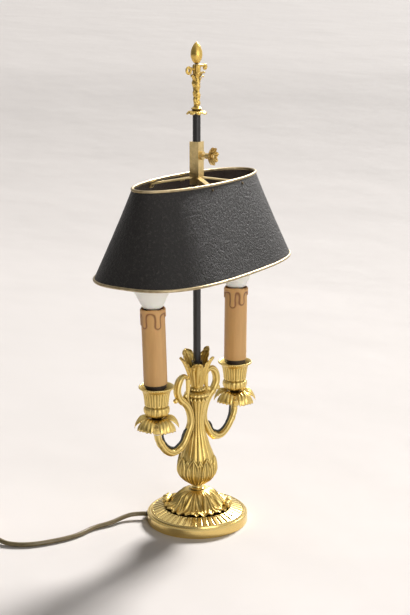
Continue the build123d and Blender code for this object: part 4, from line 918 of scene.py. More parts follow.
# ================================================================ base
MOUND_LEAVES = 8
MOUND_TURN = 31.5
ROLLED_LEAVES = (2, 6)
MOUND_STEPS = 80
LEAF_LINE = smooth_line([
    (9.5, 20.4), (15.5, 18.6), (21.5, 14.6), (25.4, 9.4), (29.6, 5.4), (34.4, 3.9), (38.4, 3.1), (39.4, 2.0),
    (37.0, 1.2),
], MOUND_STEPS)
ROLL_LINE = smooth_line([
    (9.5, 20.4), (15.5, 18.8), (21.7, 15.0), (25.6, 9.8), (29.6, 5.0), (34.0, 1.6), (38.2, 1.7), (40.2, 4.6),
    (38.4, 8.0), (34.8, 8.7), (32.2, 6.7), (33.4, 4.7), (35.4, 5.0),
], MOUND_STEPS)
# The mound's inside, from under its lip up to the hole for the tube.
MOUND_INSIDE = ((33.6, 0.5), (32.6, 0.1), (30.6, 0.1), (24.0, 6.2), (18.0, 11.5), (9.0, 17.5), (BORE, 17.8),
                (BORE, 20.4))
# How far the carving of the mound's leaves stands up or, for its grooves and teeth, goes in.
LEAF_RIB = 0.9
LEAF_GROOVE = 0.8
LEAF_FINGER = 0.75
LEAF_STRIPE = 0.55
LEAF_WAVER = 0.7
LEAF_TOOTH = 2.3


def mound_rows(relief):
    """Rows of the dome's outside: eight leaves, of which two have tips that roll up."""
    around, down = 432, 96
    rows = []
    for i in range(down + 1):
        share = i / down
        k = min(MOUND_STEPS - 1, int(share * MOUND_STEPS))
        t = share * MOUND_STEPS - k
        flat = LEAF_LINE[k].lerp(LEAF_LINE[k + 1], t)
        rolled = ROLL_LINE[k].lerp(ROLL_LINE[k + 1], t)
        swell = ease(share, 0.02, 0.25)
        lip = ease(share, 0.55, 0.86)
        row = []
        for j in range(around):
            angle = 360.0 * j / around
            place, number = sector(angle, MOUND_LEAVES, MOUND_TURN)
            across = abs(place)
            roll = 0.0
            if number in ROLLED_LEAVES:
                roll = (1 - ease(across, 0.58, 0.72)) * ease(share, 0.25, 0.45)
            base = flat.lerp(rolled, roll)
            # A valley between leaves, a rib down the middle of each, and fingers that fan out to a wavy lip.
            valley = -relief * (1 - ease(1 - across, 0.0, 0.20)) * swell
            rib = LEAF_RIB * bump(across, 0, 0.07) * swell - LEAF_GROOVE * bump(across, 0.19, 0.07) * swell
            finger = math.cos(2 * math.pi * (across * 1.9 - share * 2.1 + 0.35))
            fingers = LEAF_FINGER * finger * ease(across, 0.14, 0.36) * swell
            teeth = (0.5 - 0.5 * math.cos(2 * math.pi * (across * 1.9 - 1.75))) * lip * (1 - roll)
            stripes = LEAF_STRIPE * math.cos(math.pi * place * 7) * roll * ease(share, 0.5, 0.6)
            waver = LEAF_WAVER * noise.noise(Vector((number * 3.1 + place * 1.6, share * 8.0, 1.7))) * swell
            lift = valley + rib + fingers * (1 - roll) + stripes + waver
            radius = base.x + lift * 0.75 - LEAF_TOOTH * teeth
            height = (base.y + lift * 0.66 + 1.2 * teeth * (1 - ease(share, 0.88, 1.0))
                      - 0.5 * lip * across * (1 - roll))
            row.append(round_axis(radius, angle, MOUND_FOOT + max(height, 0.3)))
        rows.append(row)
    return rows


class LAMP_OT_base(bpy.types.Operator):
    """Makes the acanthus mound and finishes the fluted plinth, its felt and its weight"""

    bl_idname = "lamp.base"
    bl_label = "Base"

    def execute(self, context):
        rows = mound_rows(context.scene.lamp_sizes.mound_relief / MM)
        rows += ring_rows(MOUND_INSIDE, len(rows[0]), MOUND_FOOT)
        add_piece("acanthus_mound", skin(rows, closed=True), mound_gilt(), "lamp_body",
                  ["base_mound"])
        dress(turned_gilt(), "base_plinth", "stem_spool")
        dress(green_felt(), "base_felt")
        dress(cast_iron(), "base_weight")
        dress(plated_steel(), "base_washer", "base_nut", "tie_tube")
        return {"FINISHED"}


# ================================================================ stem
STEM_PROFILE = smooth_line([
    (7.6, 0.0), (15.3, 5.9), (20.4, 13.0), (21.2, 20.5), (18.7, 34.9), (15.2, 44.5), (12.1, 54.0),
    (9.1, 64.0), (7.9, 75.0), (8.5, 85.0), (10.4, 93.7), (14.3, 106.0),
], 160)
SHOULDER = STEM_PROFILE[-1].y
LOTUS_PETALS = 8
LOTUS_TURN = 30.0
LOTUS_HEIGHT = 35.0
LOTUS_HALF_WIDTH = 7.4  # of a petal, at its widest
REED_TURN = LOTUS_TURN + 180.0 / LOTUS_PETALS
REED_LIFT = 0.3
REED_DEPTH = 1.35
REED_START = 14.0  # how far below the petals' tips the reeds begin
REED_ARCH = 2.4  # the rise of the round tops in which the reeds end
COLLAR_RIBS = 18
COLLAR_PROFILE = smooth_line([(13.4, 106.2), (14.4, 107.4), (13.6, 109.2), (11.2, 110.8), (9.2, 111.6),
                              (8.6, 112.0)], 22)
RING_PROFILE = (
    (BORE, 0.0), (8.4, 0.0), (8.4, 0.5), (7.6, 0.9), (7.6, 2.6), (7.8, 3.1), (6.6, 3.5), (6.2, 3.8),
    (BORE, 3.8),
)
NECK_BEADS = 16
NECK_BEAD_RADIUS = 1.6
NECK_BEAD_REACH = 8.4
NECK_BEAD_RISE = 1.7


def stem_radius(height):
    for low, high in zip(STEM_PROFILE, STEM_PROFILE[1:]):
        if low.y <= height <= high.y:
            return blend(low.x, high.x, (height - low.y) / max(1e-6, high.y - low.y))
    return STEM_PROFILE[-1].x


def petal_relief(place, height, radius, tip, half_width):
    """Height of a pointed petal over the stem, in petal depths: a raised edge, a hollow and a middle rib."""
    if height > tip:
        return 0.0
    rise = height / tip
    half = half_width * min(1.0, 0.5 + 1.4 * rise) * (1 - max(0.0, (rise - 0.50) / 0.50) ** 2.2)
    sector_half = math.pi * radius / LOTUS_PETALS
    half = min(half, sector_half * 0.94)
    across = abs(place) * sector_half
    inside = half - across
    if inside <= 0:
        return 0.0
    edge = ease(inside, 0.0, 0.55)
    rim = 0.55 * bump(inside, 1.0, 0.6)
    hollow = -0.85 * ease(inside, 1.4, 2.8)
    rib = 1.0 * bump(across, 0.0, 0.9) * ease(tip - height, 1.0, 7.0)
    return edge + rim + hollow + rib


def reed_back(place, sharp=0.97):
    """The section of a round-backed reed, 0 at its middle and down to its grooves."""
    return math.sqrt(max(0.0, 1 - (abs(place) * sharp) ** 2)) - 1.0


def stem_point(ring, angle, depth, flutes):
    """A point of the carved stem. ring is its height and the plain radius there."""
    height, radius = ring
    front, _ = sector(angle, LOTUS_PETALS, LOTUS_TURN)
    back, _ = sector(angle, LOTUS_PETALS, REED_TURN)
    reed, _ = sector(angle, flutes, REED_TURN)
    first = petal_relief(front, height, radius, LOTUS_HEIGHT, LOTUS_HALF_WIDTH)
    second = petal_relief(back, height, radius, LOTUS_HEIGHT - 2.0, LOTUS_HALF_WIDTH * 0.7) * 0.45
    lift = max(first, second) * depth
    reeds = ease(height, LOTUS_HEIGHT - REED_START, LOTUS_HEIGHT) * min(1.0, radius / 10.5)
    open_stem = 1 - ease(lift, 0.0, 0.35)
    lift += (REED_LIFT + REED_DEPTH * reed_back(reed)) * reeds * open_stem
    # The reeds end in round tops under the collar.
    arch = REED_ARCH * abs(reed) ** 2.5
    top = ease(height, SHOULDER - 2.6 - arch, SHOULDER - 0.4 - arch)
    lift += 0.55 * bump(height, SHOULDER - 3.4 - arch, 1.3) - 1.5 * top
    return round_axis(radius + lift, angle, STEM_FOOT + height)


def collar_point(ring, angle):
    """A point of the ribbed collar. ring is its radius and height."""
    rib, _ = sector(angle, COLLAR_RIBS, LOTUS_TURN)
    scallop = (0.3 + 1.1 * reed_back(rib)) * (1 - ease(ring.y, 110.0, 112.0) * 0.6)
    return round_axis(ring.x + scallop, angle, STEM_FOOT + ring.y)


class LAMP_OT_stem(bpy.types.Operator):
    """Makes the pear-shaped stem with its lotus petals and reeds, and the beaded ring on its neck"""

    bl_idname = "lamp.stem"
    bl_label = "Stem and Neck Ring"

    def execute(self, context):
        sizes = context.scene.lamp_sizes
        depth, flutes = sizes.lotus_relief / MM, sizes.stem_flutes
        around, up = 384, 176
        heights = [SHOULDER * i / up for i in range(up + 1)]
        rows = rows_round([(height, stem_radius(height)) for height in heights], around,
                          lambda ring, angle: stem_point(ring, angle, depth, flutes))
        rows += rows_round(COLLAR_PROFILE, around, collar_point)
        rows += ring_rows(((BORE, STEM_TOP - STEM_FOOT), (BORE, 0.0)), around, STEM_FOOT)
        add_piece("lotus_stem", skin(rows, closed=True), cast_gilt(), "lamp_body", ["stem"])

        foot = RING_BOX[0].z / MM
        shapes = [skin(ring_rows(RING_PROFILE, 96, foot), closed=True)]
        for number in range(NECK_BEADS):
            centre = round_axis(NECK_BEAD_REACH, 360.0 * number / NECK_BEADS, foot + NECK_BEAD_RISE)
            shapes.append(bead(centre, NECK_BEAD_RADIUS, 9, 16))
        add_piece("beaded_ring", join(*shapes), cast_gilt(), "lamp_body", ["neck_ring"])
        return {"FINISHED"}


# ================================================================ leaf cup
CUP_LEAVES = 5
CUP_LEAF_TURN = 6.5
CUP_LEAF_LINE = (5.9, 7.0, 8.2, 9.5, 10.9, 12.4, 14.2, 16.2, 18.0)
CUP_LEAF_RISE = 38.0  # the height over which the line above runs
CUP_LEAF_HALF = 37.2  # half of the angle that each leaf fills at its foot
CUP_LEAF_LEAST = 2.5  # the least of that angle, at the tip
CUP_LEAF_THICKNESS = 1.1
# Each leaf as bent by hand: height of its tip, outward lean, sideways turn of its tip, and width kept.
CUP_LEAF_BENDS = (
    (44.5, -3.6, -16.0, 0.80), (40.5, -0.6, 8.0, 1.15), (35.6, 0.9, 0.0, 1.05), (30.6, -0.2, 4.0, 1.05),
    (36.4, 0.4, -3.0, 1.0),
)
CUP_FLOOR = ((BORE, 0.0), (5.6, 0.0), (6.2, 3.0), (6.9, 7.0), (7.6, 10.8), (BORE, 10.8))


def leaf_ribs(place):
    """The ribs and grooves across a leaf of the cup."""
    middle = 0.8 * bump(place, 0, 0.15)
    groove = 0.65 * bump(abs(place), 0.36, 0.17)
    outer = 0.35 * bump(abs(place), 0.70, 0.16)
    return middle - groove + outer


def cup_leaf(azimuth, tip, lean, turn, width):
    """One leaf of the cup: joined to the next below, free, lobed and curled at its tip."""
    up, across = 64, 36
    rows = []
    for i in range(up + 1):
        share = i / up
        rise = share * tip
        reach = smooth_at(CUP_LEAF_LINE, min(1.0, rise / CUP_LEAF_RISE)) + lean * ease(share, 0.45, 1.0)
        free = ease(share, 0.50, 0.74)
        taper = math.sqrt(max(0.0, 1 - max(0.0, (share - 0.50) / 0.50) ** 3.4))
        lobes = 1 - 0.20 * bump(share, 0.76, 0.025) - 0.24 * bump(share, 0.89, 0.022)
        half = max(CUP_LEAF_HALF * blend(1.0, width, free) * taper * lobes, CUP_LEAF_LEAST)
        curl = 1.3 * ease(share, 0.86, 1.0)
        row = []
        for j in range(across + 1):
            place = 2 * j / across - 1
            cupped = -1.5 * place ** 2 * free
            valley = -1.0 * ease(abs(place), 0.82, 1.0) * (1 - free)
            out = reach + leaf_ribs(place) * ease(share, 0.02, 0.2) + cupped + valley + curl
            angle = azimuth + place * half + turn * ease(share, 0.6, 1.0)
            row.append(round_axis(out, angle, LEAF_CUP_FOOT + rise - 0.9 * place ** 2 * free))
        rows.append(row)
    return skin(rows, wrap=False)


class LAMP_OT_leaf_cup(bpy.types.Operator):
    """Makes the open cup of five leaves that the rod rises from"""

    bl_idname = "lamp.leaf_cup"
    bl_label = "Leaf Cup"

    def execute(self, context):
        shapes = [cup_leaf(CUP_LEAF_TURN + 360.0 / CUP_LEAVES * number, *bend)
                  for number, bend in enumerate(CUP_LEAF_BENDS)]
        add_piece("leaf_cup_leaves", join(*shapes), leaf_gilt(), "lamp_body", ["leaf_cup"],
                  thickness=CUP_LEAF_THICKNESS)
        add_piece("leaf_cup_floor", skin(ring_rows(CUP_FLOOR, 64, LEAF_CUP_FOOT), closed=True), cast_gilt(),
                  "lamp_body", ["leaf_cup"])
        dress(black_rod(), "rod_coupler")
        return {"FINISHED"}


# ================================================================ arms
# The arms are drawn from the stem's waist, the lowest bend, the two strands of the scroll and its loop.
BEND_Z = WAIST_Z - 27.0
LOOP_Z = WAIST_Z + 43.0
STRAND = 10.9
LOOP = 32.8
BEND = 41.0
SCROLL_LINE = [
    (ARM_REACH, PAN_SEAT), (ARM_REACH, PAN_SEAT - 12.0), (ARM_REACH - 5.5, BEND_Z + 15.5),
    (BEND + 10.5, BEND_Z + 4.0), (BEND - 3.0, BEND_Z - 2.0), (BEND - 18.0, BEND_Z + 5.0),
    (STRAND + 4.5, BEND_Z + 18.0), (STRAND - 1.2, WAIST_Z + 1.0), (STRAND + 1.5, WAIST_Z + 14.5),
    (STRAND + 8.0, WAIST_Z + 25.0), (LOOP - 3.0, WAIST_Z + 33.0), (LOOP + 1.5, LOOP_Z),
    (LOOP - 3.0, LOOP_Z + 12.0), (LOOP - 12.0, LOOP_Z + 16.0), (STRAND + 4.5, LOOP_Z + 10.0),
]
TENDRIL_LINE = [
    (STRAND + 4.5, LOOP_Z + 10.0), (STRAND + 4.0, LOOP_Z), (STRAND + 5.6, LOOP_Z - 9.0),
    (STRAND + 3.6, LOOP_Z - 20.0), (STRAND + 2.0, WAIST_Z + 13.0),
]
ARM_BEADS = ((LOOP + 3.0, WAIST_Z + 32.0), (STRAND + 8.4, LOOP_Z - 9.0))
ARM_BEAD_RADIUS = 2.9
ARM_SEAT = (
    (6.6, 0.0), (6.6, -2.0), (5.6, -3.4), (4.8, -6.0), (5.2, -7.6), (4.4, -9.0), (0.4, -9.2), (0.4, 0.0),
)
# Where leaves end along the scroll, as a share of its length, with the height and width of each collar.
LEAF_ENDS = ((0.315, 0.75, 0.012), (0.115, 0.6, 0.012), (0.70, 0.5, 0.010))


def scroll_radius(share, angle):
    """The scroll arm's reach from its middle line: ridged like a folded leaf, with collars on it."""
    ridge = 0.75 * abs(math.cos(math.radians(angle * 3))) ** 0.8 - 0.45
    body = blend(3.9, 4.15, ease(share, 0.0, 0.3))
    taper = 1 - 0.48 * ease(share, 0.86, 1.0)
    collars = sum(height * bump(share, middle, width) for middle, height, width in LEAF_ENDS)
    return (body + ridge * ease(share, 0.02, 0.08)) * taper + collars


def tendril_radius(share, angle):
    return blend(2.9, 1.5, share) + 0.25 * math.cos(math.radians(4 * angle))


class LAMP_OT_arms(bpy.types.Operator):
    """Makes the two scroll arms and finishes the wires on them"""

    bl_idname = "lamp.arms"
    bl_label = "Scroll Arms"

    def execute(self, context):
        for side, sign in SIDES.items():
            scroll = spline_line([(sign * x, 0, z) for x, z in SCROLL_LINE], 300)
            tendril = spline_line([(sign * x, 0, z) for x, z in TENDRIL_LINE], 80)
            shapes = [
                skin(tube_rows(scroll, scroll_radius, 40), start=scroll[0], end=scroll[-1]),
                skin(tube_rows(tendril, tendril_radius, 18), start=tendril[0], end=tendril[-1]),
            ]
            shapes += [bead(Vector((sign * x, 0, z)), ARM_BEAD_RADIUS, 10, 20) for x, z in ARM_BEADS]
            shapes.append(skin(ring_rows(ARM_SEAT, 48, PAN_SEAT, (sign * ARM_REACH, 0.0)), closed=True))
            add_piece(f"scroll_arm_{side}", join(*shapes), cast_gilt(), "lamp_body",
                      [f"arm_{side}"])
            dress(wire_cover(), f"lead_wire_{side}")
            dress(plated_steel(), f"arm_nipple_{side}")
        return {"FINISHED"}


# ================================================================ drip pans and candle cups
PAN_LINE = (6.2, 7.4, 10.0, 13.2, 16.6, 19.8, 22.4, 24.0, 24.6)
PAN_RISE = (8.4, 9.4, 10.6, 11.0, 10.4, 8.4, 5.2, 1.8, -1.4)
PAN_TURN = 41.9
PAN_TEETH = 5
PAN_TEETH_SPREAD = 0.80  # the share of each leaf's width that its teeth fill
PAN_THICKNESS = 1.1
PAN_UNDERSIDE = ((7.4, 0.0), (PAN_BORE, 0.0), (PAN_BORE, 8.5))


def pan_rows(leaves, centre):
    """Rows of a drip pan of drooping leaves, each ribbed and ending in pointed teeth."""
    around, out = leaves * 100, 46
    rows = []
    for i in range(out + 1):
        share = i / out
        row = []
        for j in range(around):
            angle = 360.0 * j / around
            place, number = sector(angle, leaves, PAN_TURN)
            across = abs(place)
            tooth = (place / PAN_TEETH_SPREAD * PAN_TEETH / 2 + 0.5) % 1.0
            point = 2 * abs(tooth - 0.5)
            outline = 1 - 0.50 * ease(across, 0.62, 0.98) - 0.05 * (across / 0.7) ** 2 - 0.075 * point
            length = outline * (1 + 0.03 * math.sin(number * 2.4))
            along = share * blend(1.0, length, ease(share, 0.3, 0.9))
            grown = ease(share, 0.12, 0.45)
            ribs = (0.5 - point) * 1.1 * grown * (1 - ease(across, 0.74, 0.9))
            rib = 0.5 * bump(place, 0, 0.09) * grown
            side = -2.6 * min(1.0, across / 0.85) ** 2.2 * grown
            radius = smooth_at(PAN_LINE, along) + 0.3 * ribs * share
            height = PAN_SEAT + smooth_at(PAN_RISE, along) + ribs * 0.8 + rib + side
            row.append(round_axis(radius, angle, height, centre))
        rows.append(row)
    return rows


class LAMP_OT_drip_pans(bpy.types.Operator):
    """Makes the two drip pans of drooping leaves"""

    bl_idname = "lamp.drip_pans"
    bl_label = "Drip Pans"

    def execute(self, context):
        for side, sign in SIDES.items():
            centre = (sign * ARM_REACH, 0.0)
            rows = pan_rows(context.scene.lamp_sizes.pan_leaves, centre)
            rows += [[p - UP * PAN_THICKNESS for p in row] for row in reversed(rows)]
            rows += ring_rows(PAN_UNDERSIDE, len(rows[0]), PAN_SEAT, centre)
            add_piece(f"leaf_pan_{side}", skin(rows, closed=True), leaf_gilt(), "lamp_body",
                      [f"drip_pan_{side}"])
        return {"FINISHED"}


CUP_OUTSIDE = smooth_line([
    (7.0, 0.0), (10.4, 1.0), (13.0, 3.6), (14.0, 7.2), (13.8, 10.4), (12.9, 12.4), (13.1, 15.5), (13.7, 20.5),
    (14.4, 25.5), (15.6, 29.4), (17.8, 32.0),
], 96)
# The lip, the inside down to its floor, and the underside.
CUP_INSIDE = (
    (18.6, 33.0), (19.3, 34.0), (19.6, 34.6), (19.2, 34.95), (18.5, 34.7), (17.2, 33.2), (15.6, 31.2),
    (13.4, 28.0), (11.8, 24.0), (10.6, 14.0), (9.9, 4.0), (PAN_BORE, 4.0), (PAN_BORE, -2.5), (5.5, -2.5),
    (5.5, 0.0),
)
CUP_CREASE = 12.4  # the height of the crease between the bulb and the flared part
FLUTE_TURN = 5.0
CUP_BEADS = 48
CUP_BEAD_REACH = 18.8
CUP_BEAD_RISE = 33.6
CUP_BEAD_RADIUS = 1.0


def cup_point(ring, angle, flutes, centre):
    """A point of the fluted outside of a candle cup. ring is its radius and height."""
    place, _ = sector(angle, flutes, FLUTE_TURN)
    body = 1 - ease(ring.y, 27.5 + 1.5 * abs(place), 30.0)
    foot = ease(ring.y, 0.8 + 1.6 * abs(place) ** 2, 4.6)
    crease = -0.7 * bump(ring.y, CUP_CREASE, 0.8)
    inlay = -0.5 * bump(place, 0.0, 0.26) * ease(ring.y, 14.0, 16.0) * body
    lift = (0.35 + 1.5 * reed_back(place)) * body * foot + crease + inlay
    return round_axis(ring.x + lift, angle, CANDLE_CUP_FOOT + ring.y, centre)


class LAMP_OT_candle_cups(bpy.types.Operator):
    """Makes the two fluted candle cups with their beaded lips"""

    bl_idname = "lamp.candle_cups"
    bl_label = "Candle Cups"

    def execute(self, context):
        flutes = context.scene.lamp_sizes.cup_flutes
        around = flutes * 24
        for side, sign in SIDES.items():
            centre = (sign * ARM_REACH, 0.0)
            rows = rows_round(CUP_OUTSIDE, around, lambda ring, angle: cup_point(ring, angle, flutes, centre))
            rows += ring_rows(CUP_INSIDE, around, CANDLE_CUP_FOOT, centre)
            shapes = [skin(rows, closed=True)]
            for number in range(CUP_BEADS):
                angle = 360.0 * number / CUP_BEADS
                place = round_axis(CUP_BEAD_REACH, angle, CANDLE_CUP_FOOT + CUP_BEAD_RISE, centre)
                shapes.append(bead(place, CUP_BEAD_RADIUS, 7, 12))
            add_piece(f"fluted_cup_{side}", join(*shapes), cast_gilt(), "lamp_body",
                      [f"candle_cup_{side}"])
        return {"FINISHED"}


# ================================================================ candle sleeves and bulbs
LEANS = {"left": 2.2, "right": 0.6}  # outward, in degrees
SLEEVE_SEAT = 4.0  # the height of the cup's floor, on which the sleeve stands
SLEEVE_FOOT_RADIUS = 9.0  # of the foot that tips up when the sleeve leans
SLEEVE_LOW = 34.0
SLEEVE_TOP = 120.5
SLEEVE_RADIUS = 13.0
# Radius, height and darkness of the painted shade down the inside of the sleeve, darkest just under its
# mouth.
SLEEVE_INSIDE = ((12.9, SLEEVE_TOP - 1.0, 0.45), (12.2, SLEEVE_TOP - 1.5, 0.6), (12.2, SLEEVE_LOW, 0.0))
DRIP_WIDTH = 5.8
DRIP_RELIEF = 0.95
OUTLINE_DARKNESS = 0.92
CLEARANCE = 0.02
# Where each wax drip hangs, in degrees round the sleeve, and how far its end is below the sleeve's top.
DRIPS = {
    "left": ((176, 21.0), (246, 21.5), (312, 11.5), (128, 21.0), (20, 14.0), (75, 18.0)),
    "right": ((203, 23.0), (251, 20.0), (132, 14.0), (312, 11.0), (20, 17.0), (75, 12.0)),
}


def soft_max(a, b, reach=4.4):
    """The larger of two values, rounded where they cross."""
    near = max(0.0, reach - abs(a - b)) / reach
    return max(a, b) + near * near * reach / 4


def drip_depth(angle, height, drips):
    """How far a point lies inside the wax, in millimetres, negative outside it."""
    best = height - (SLEEVE_TOP - 5.2) + 0.7 * math.sin(math.radians(3 * angle))
    for middle, length in drips:
        across = ((angle - middle + 180) % 360 - 180) * math.pi / 180 * SLEEVE_RADIUS
        low = SLEEVE_TOP - length + DRIP_WIDTH / 2
        if height >= low:
            inside = DRIP_WIDTH / 2 - abs(across) - 0.35 * bump(height, low + 6.0, 4.0)
        else:
            inside = DRIP_WIDTH / 2 - math.hypot(across, height - low)
        best = soft_max(best, inside)
    return best


def sleeve_shape(side):
    """The leaning sleeve of one side with its drips, and how dark each vertex is: the drips' outline, and
    painted shade inside its mouth.
    """
    around, up = 240, 220
    sign = SIDES[side]
    lean = math.radians(LEANS[side] * sign)
    lift = SLEEVE_FOOT_RADIUS * math.sin(abs(lean)) + CLEARANCE
    foot = Vector((sign * ARM_REACH, 0, CANDLE_CUP_FOOT + SLEEVE_SEAT + lift))
    across = Vector((math.cos(lean), 0, -math.sin(lean)))
    upward = Vector((math.sin(lean), 0, math.cos(lean)))
    turns = [math.radians(360.0 * j / around) for j in range(around)]
    outwards = [across * math.cos(turn) + ACROSS_ARMS * math.sin(turn) for turn in turns]
    rows, outline = [], []
    for i in range(up + 1):
        height = blend(SLEEVE_LOW, SLEEVE_TOP, i / up)
        near_top = ease(height, SLEEVE_TOP - 3, SLEEVE_TOP)
        rounded = 1 - 0.5 * ease(height, SLEEVE_TOP - 1.2, SLEEVE_TOP)
        row = []
        for j, outward in enumerate(outwards):
            angle = 360.0 * j / around
            depth = drip_depth(angle, height, DRIPS[side])
            relief = DRIP_RELIEF * ease(depth, -0.15, 0.9) * rounded
            wave = 0.9 * math.sin(math.radians(2 * angle + 40)) + 0.35 * math.sin(math.radians(5 * angle))
            row.append(foot + upward * (height + (wave - 1.2) * near_top)
                       + outward * (SLEEVE_RADIUS + relief))
            outline.append(OUTLINE_DARKNESS * bump(depth, -0.35, 1.0))
        rows.append(row)
    # The inside rows carry painted shade in the same mask.
    for radius, height, dark in SLEEVE_INSIDE:
        rows.append([foot + upward * height + outward * radius for outward in outwards])
        outline += [dark] * around
    return skin(rows, closed=True), outline


class LAMP_OT_candles(bpy.types.Operator):
    """Makes the card candles with their wax drips and finishes the bulbs and holders"""

    bl_idname = "lamp.candles"
    bl_label = "Candles and Bulbs"

    def execute(self, context):
        for side in SIDES:
            shape, outline = sleeve_shape(side)
            add_piece(f"drip_sleeve_{side}", shape, sleeve_card(), "lamp_body",
                      [f"candle_sleeve_{side}"], masks={"outline": outline})
            dress(holder_plastic(), f"candle_holder_{side}")
            dress(bright_brass(), f"holder_contacts_{side}", f"bulb_cap_{side}")
            dress(frosted_bulb(), f"bulb_glass_{side}")
        return {"FINISHED"}


# ================================================================ rod and finial
SKIRT_PROFILE = (
    (4.4, 1.0), (7.5, 1.6), (10.0, 0.8), (11.1, 0.6), (11.2, 1.6), (9.6, 3.2), (7.2, 4.2), (5.0, 4.6),
    (4.8, 5.2), (5.8, 6.2), (6.0, 7.0), (5.0, 7.8), (3.6, 8.8), (3.0, 10.5),
)
SKIRT_LEAVES = 8
SKIRT_TURN = 12.0
SKIRT_UPPER_LEAVES = 6
COLUMN_PROFILE = smooth_line([
    (3.0, 0.0), (3.5, 2.0), (3.3, 6.0), (3.9, 11.0), (3.4, 15.5), (4.0, 20.0), (4.6, 25.0), (3.8, 29.5),
    (3.9, 35.0), (4.2, 40.5), (3.4, 43.0),
], 110)
# Each little leaf of the shaft: its heading, how far it reaches, its height and its width.
FINIAL_LEAVES = (
    (0, 13.0, 32.0, 2.8), (62, 7.6, 28.0, 2.3), (118, 7.2, 31.0, 2.3), (178, 8.6, 29.0, 2.5),
    (236, 7.4, 31.5, 2.3), (300, 8.2, 28.0, 2.4),
)
# The ears, as places along the arms and depths below the shaft's top. Left, a ring on a strut. Right, a
# bar that ends in a volute with a bead in it.
EAR_RING_CENTRE = (-12.4, 6.2)
EAR_RING_RADIUS = 3.0
EAR_STRUT = ((-2.6, 4.4), (-5.0, 5.2), (-8.0, 4.6), (-10.2, 3.6))
EAR_VOLUTE = (
    (1.0, 1.8), (5.0, 1.2), (9.5, 1.6), (13.6, 0.9), (15.4, 2.8), (14.2, 5.2), (11.8, 4.6), (12.6, 3.2),
)
EAR_BEAD = (13.2, 3.2)
BUD_RADIUS = 6.4
BUD_SCALES = 5
BUD_WINDING = 16
BUD_SCALE_DEPTH = 0.07
BUD_ROWS = 60


def small_leaf(azimuth, reach, foot, width):
    """A little leaf that grows out of the finial's shaft, opens and droops at its tip."""
    line = smooth_line([(2.4, foot - 6.0), (3.6, foot - 2.5), (blend(3.6, reach, 0.45), foot + 1.2),
                        (blend(3.6, reach, 0.8), foot + 2.6), (reach, foot + 1.4)], 14)
    around = 14
    rows = []
    for i, point in enumerate(line):
        share = i / (len(line) - 1)
        half = width * (0.45 + 0.9 * math.sin(math.pi * min(1.0, share * 1.02)) ** 0.7) * (1 - 0.45 * share)
        row = []
        for j in range(around):
            turn = 2 * math.pi * j / around
            side = half * math.cos(turn)
            thick = 0.62 * math.sin(turn) + 0.5 * (side / width) ** 2
            here = round_axis(point.x, azimuth, SHAFT_FOOT + point.y + thick)
            row.append(here + round_axis(side, azimuth + 90, 0.0))
        rows.append(row)
    middle = [sum(row, Vector()) / len(row) for row in (rows[0], rows[-1])]
    return skin(rows, start=middle[0], end=middle[1])


def scroll_tube(points, first_radius, last_radius):
    """A round bar in the plane of the two arms, through points given as for the ears."""
    points = [(x, SHAFT_TOP - depth) for x, depth in points]
    line = [Vector((x, 0, z)) for x, z in smooth_line(points, 40)]
    rows = tube_rows(line, lambda share, angle: blend(first_radius, last_radius, share), 14)
    return skin(rows, start=line[0], end=line[-1])


def skirt_point(ring, angle):
    """A point of the finial's skirt, with its drooping leaves and the smaller ones above them."""
    radius, height = ring
    place, _ = sector(angle, SKIRT_LEAVES, SKIRT_TURN)
    upper_place, _ = sector(angle, SKIRT_UPPER_LEAVES)
    rim = ease(radius, 6.0, 10.5) * (1 - ease(height, 4.0, 5.0))
    upper = bump(height, 6.5, 1.2)
    out = -2.0 * abs(place) ** 2 * rim - 0.7 * abs(upper_place) ** 2 * upper
    droop = (1.5 * abs(place) ** 1.5 + 0.25 * math.cos(math.pi * place * 3)) * rim
    return round_axis(radius + out, angle, SKIRT_FOOT + max(0.05, height + droop))


def column_point(ring, angle):
    """A point of the finial's shaft, with wound leaves and lumps below and flutes above."""
    radius, height = ring
    turn = math.radians(angle)
    wound = math.sin(math.radians(2 * angle + height * 24)) * math.sin(math.radians(angle - height * 17))
    lump = noise.noise(Vector((math.cos(turn) * 1.6, math.sin(turn) * 1.6, height * 0.42)))
    low = 1 - ease(height, 27.0, 31.0)
    flute = 0.3 * math.cos(math.radians(8 * angle)) * (1 - low)
    return round_axis(radius + ((0.75 * wound + 0.7 * lump) * low + flute), angle, SHAFT_FOOT + height)


def bud_point(share, angle):
    """A point of the bud, at share of its height, with two crossing spirals of scales."""
    radius = BUD_RADIUS * math.sin(math.pi * min(1.0, share ** 0.86)) ** 0.62
    turn = math.radians(BUD_SCALES * angle)
    scales = math.cos(turn + share * BUD_WINDING) * math.cos(turn - share * BUD_WINDING)
    relief = (BUD_SCALE_DEPTH * scales - 0.05) * ease(radius, 1.0, 3.0)
    return round_axis(radius + relief, angle, SHAFT_TOP + (BUD_TOP - SHAFT_TOP) * share)


def ears():
    """The ring, the strut and the volute at the top of the finial's shaft."""
    middle, drop = EAR_RING_CENTRE
    turns = [math.radians(angle) for angle in range(0, 361, 30)]
    ring = [(middle + EAR_RING_RADIUS * math.cos(turn), drop - EAR_RING_RADIUS * math.sin(turn))
            for turn in turns]
    along, depth = EAR_BEAD
    return [scroll_tube(ring, 1.6, 1.6), scroll_tube(EAR_STRUT, 1.5, 1.3), scroll_tube(EAR_VOLUTE, 1.7, 1.1),
            bead(Vector((along, 0, SHAFT_TOP - depth)), 1.7, 8, 14)]


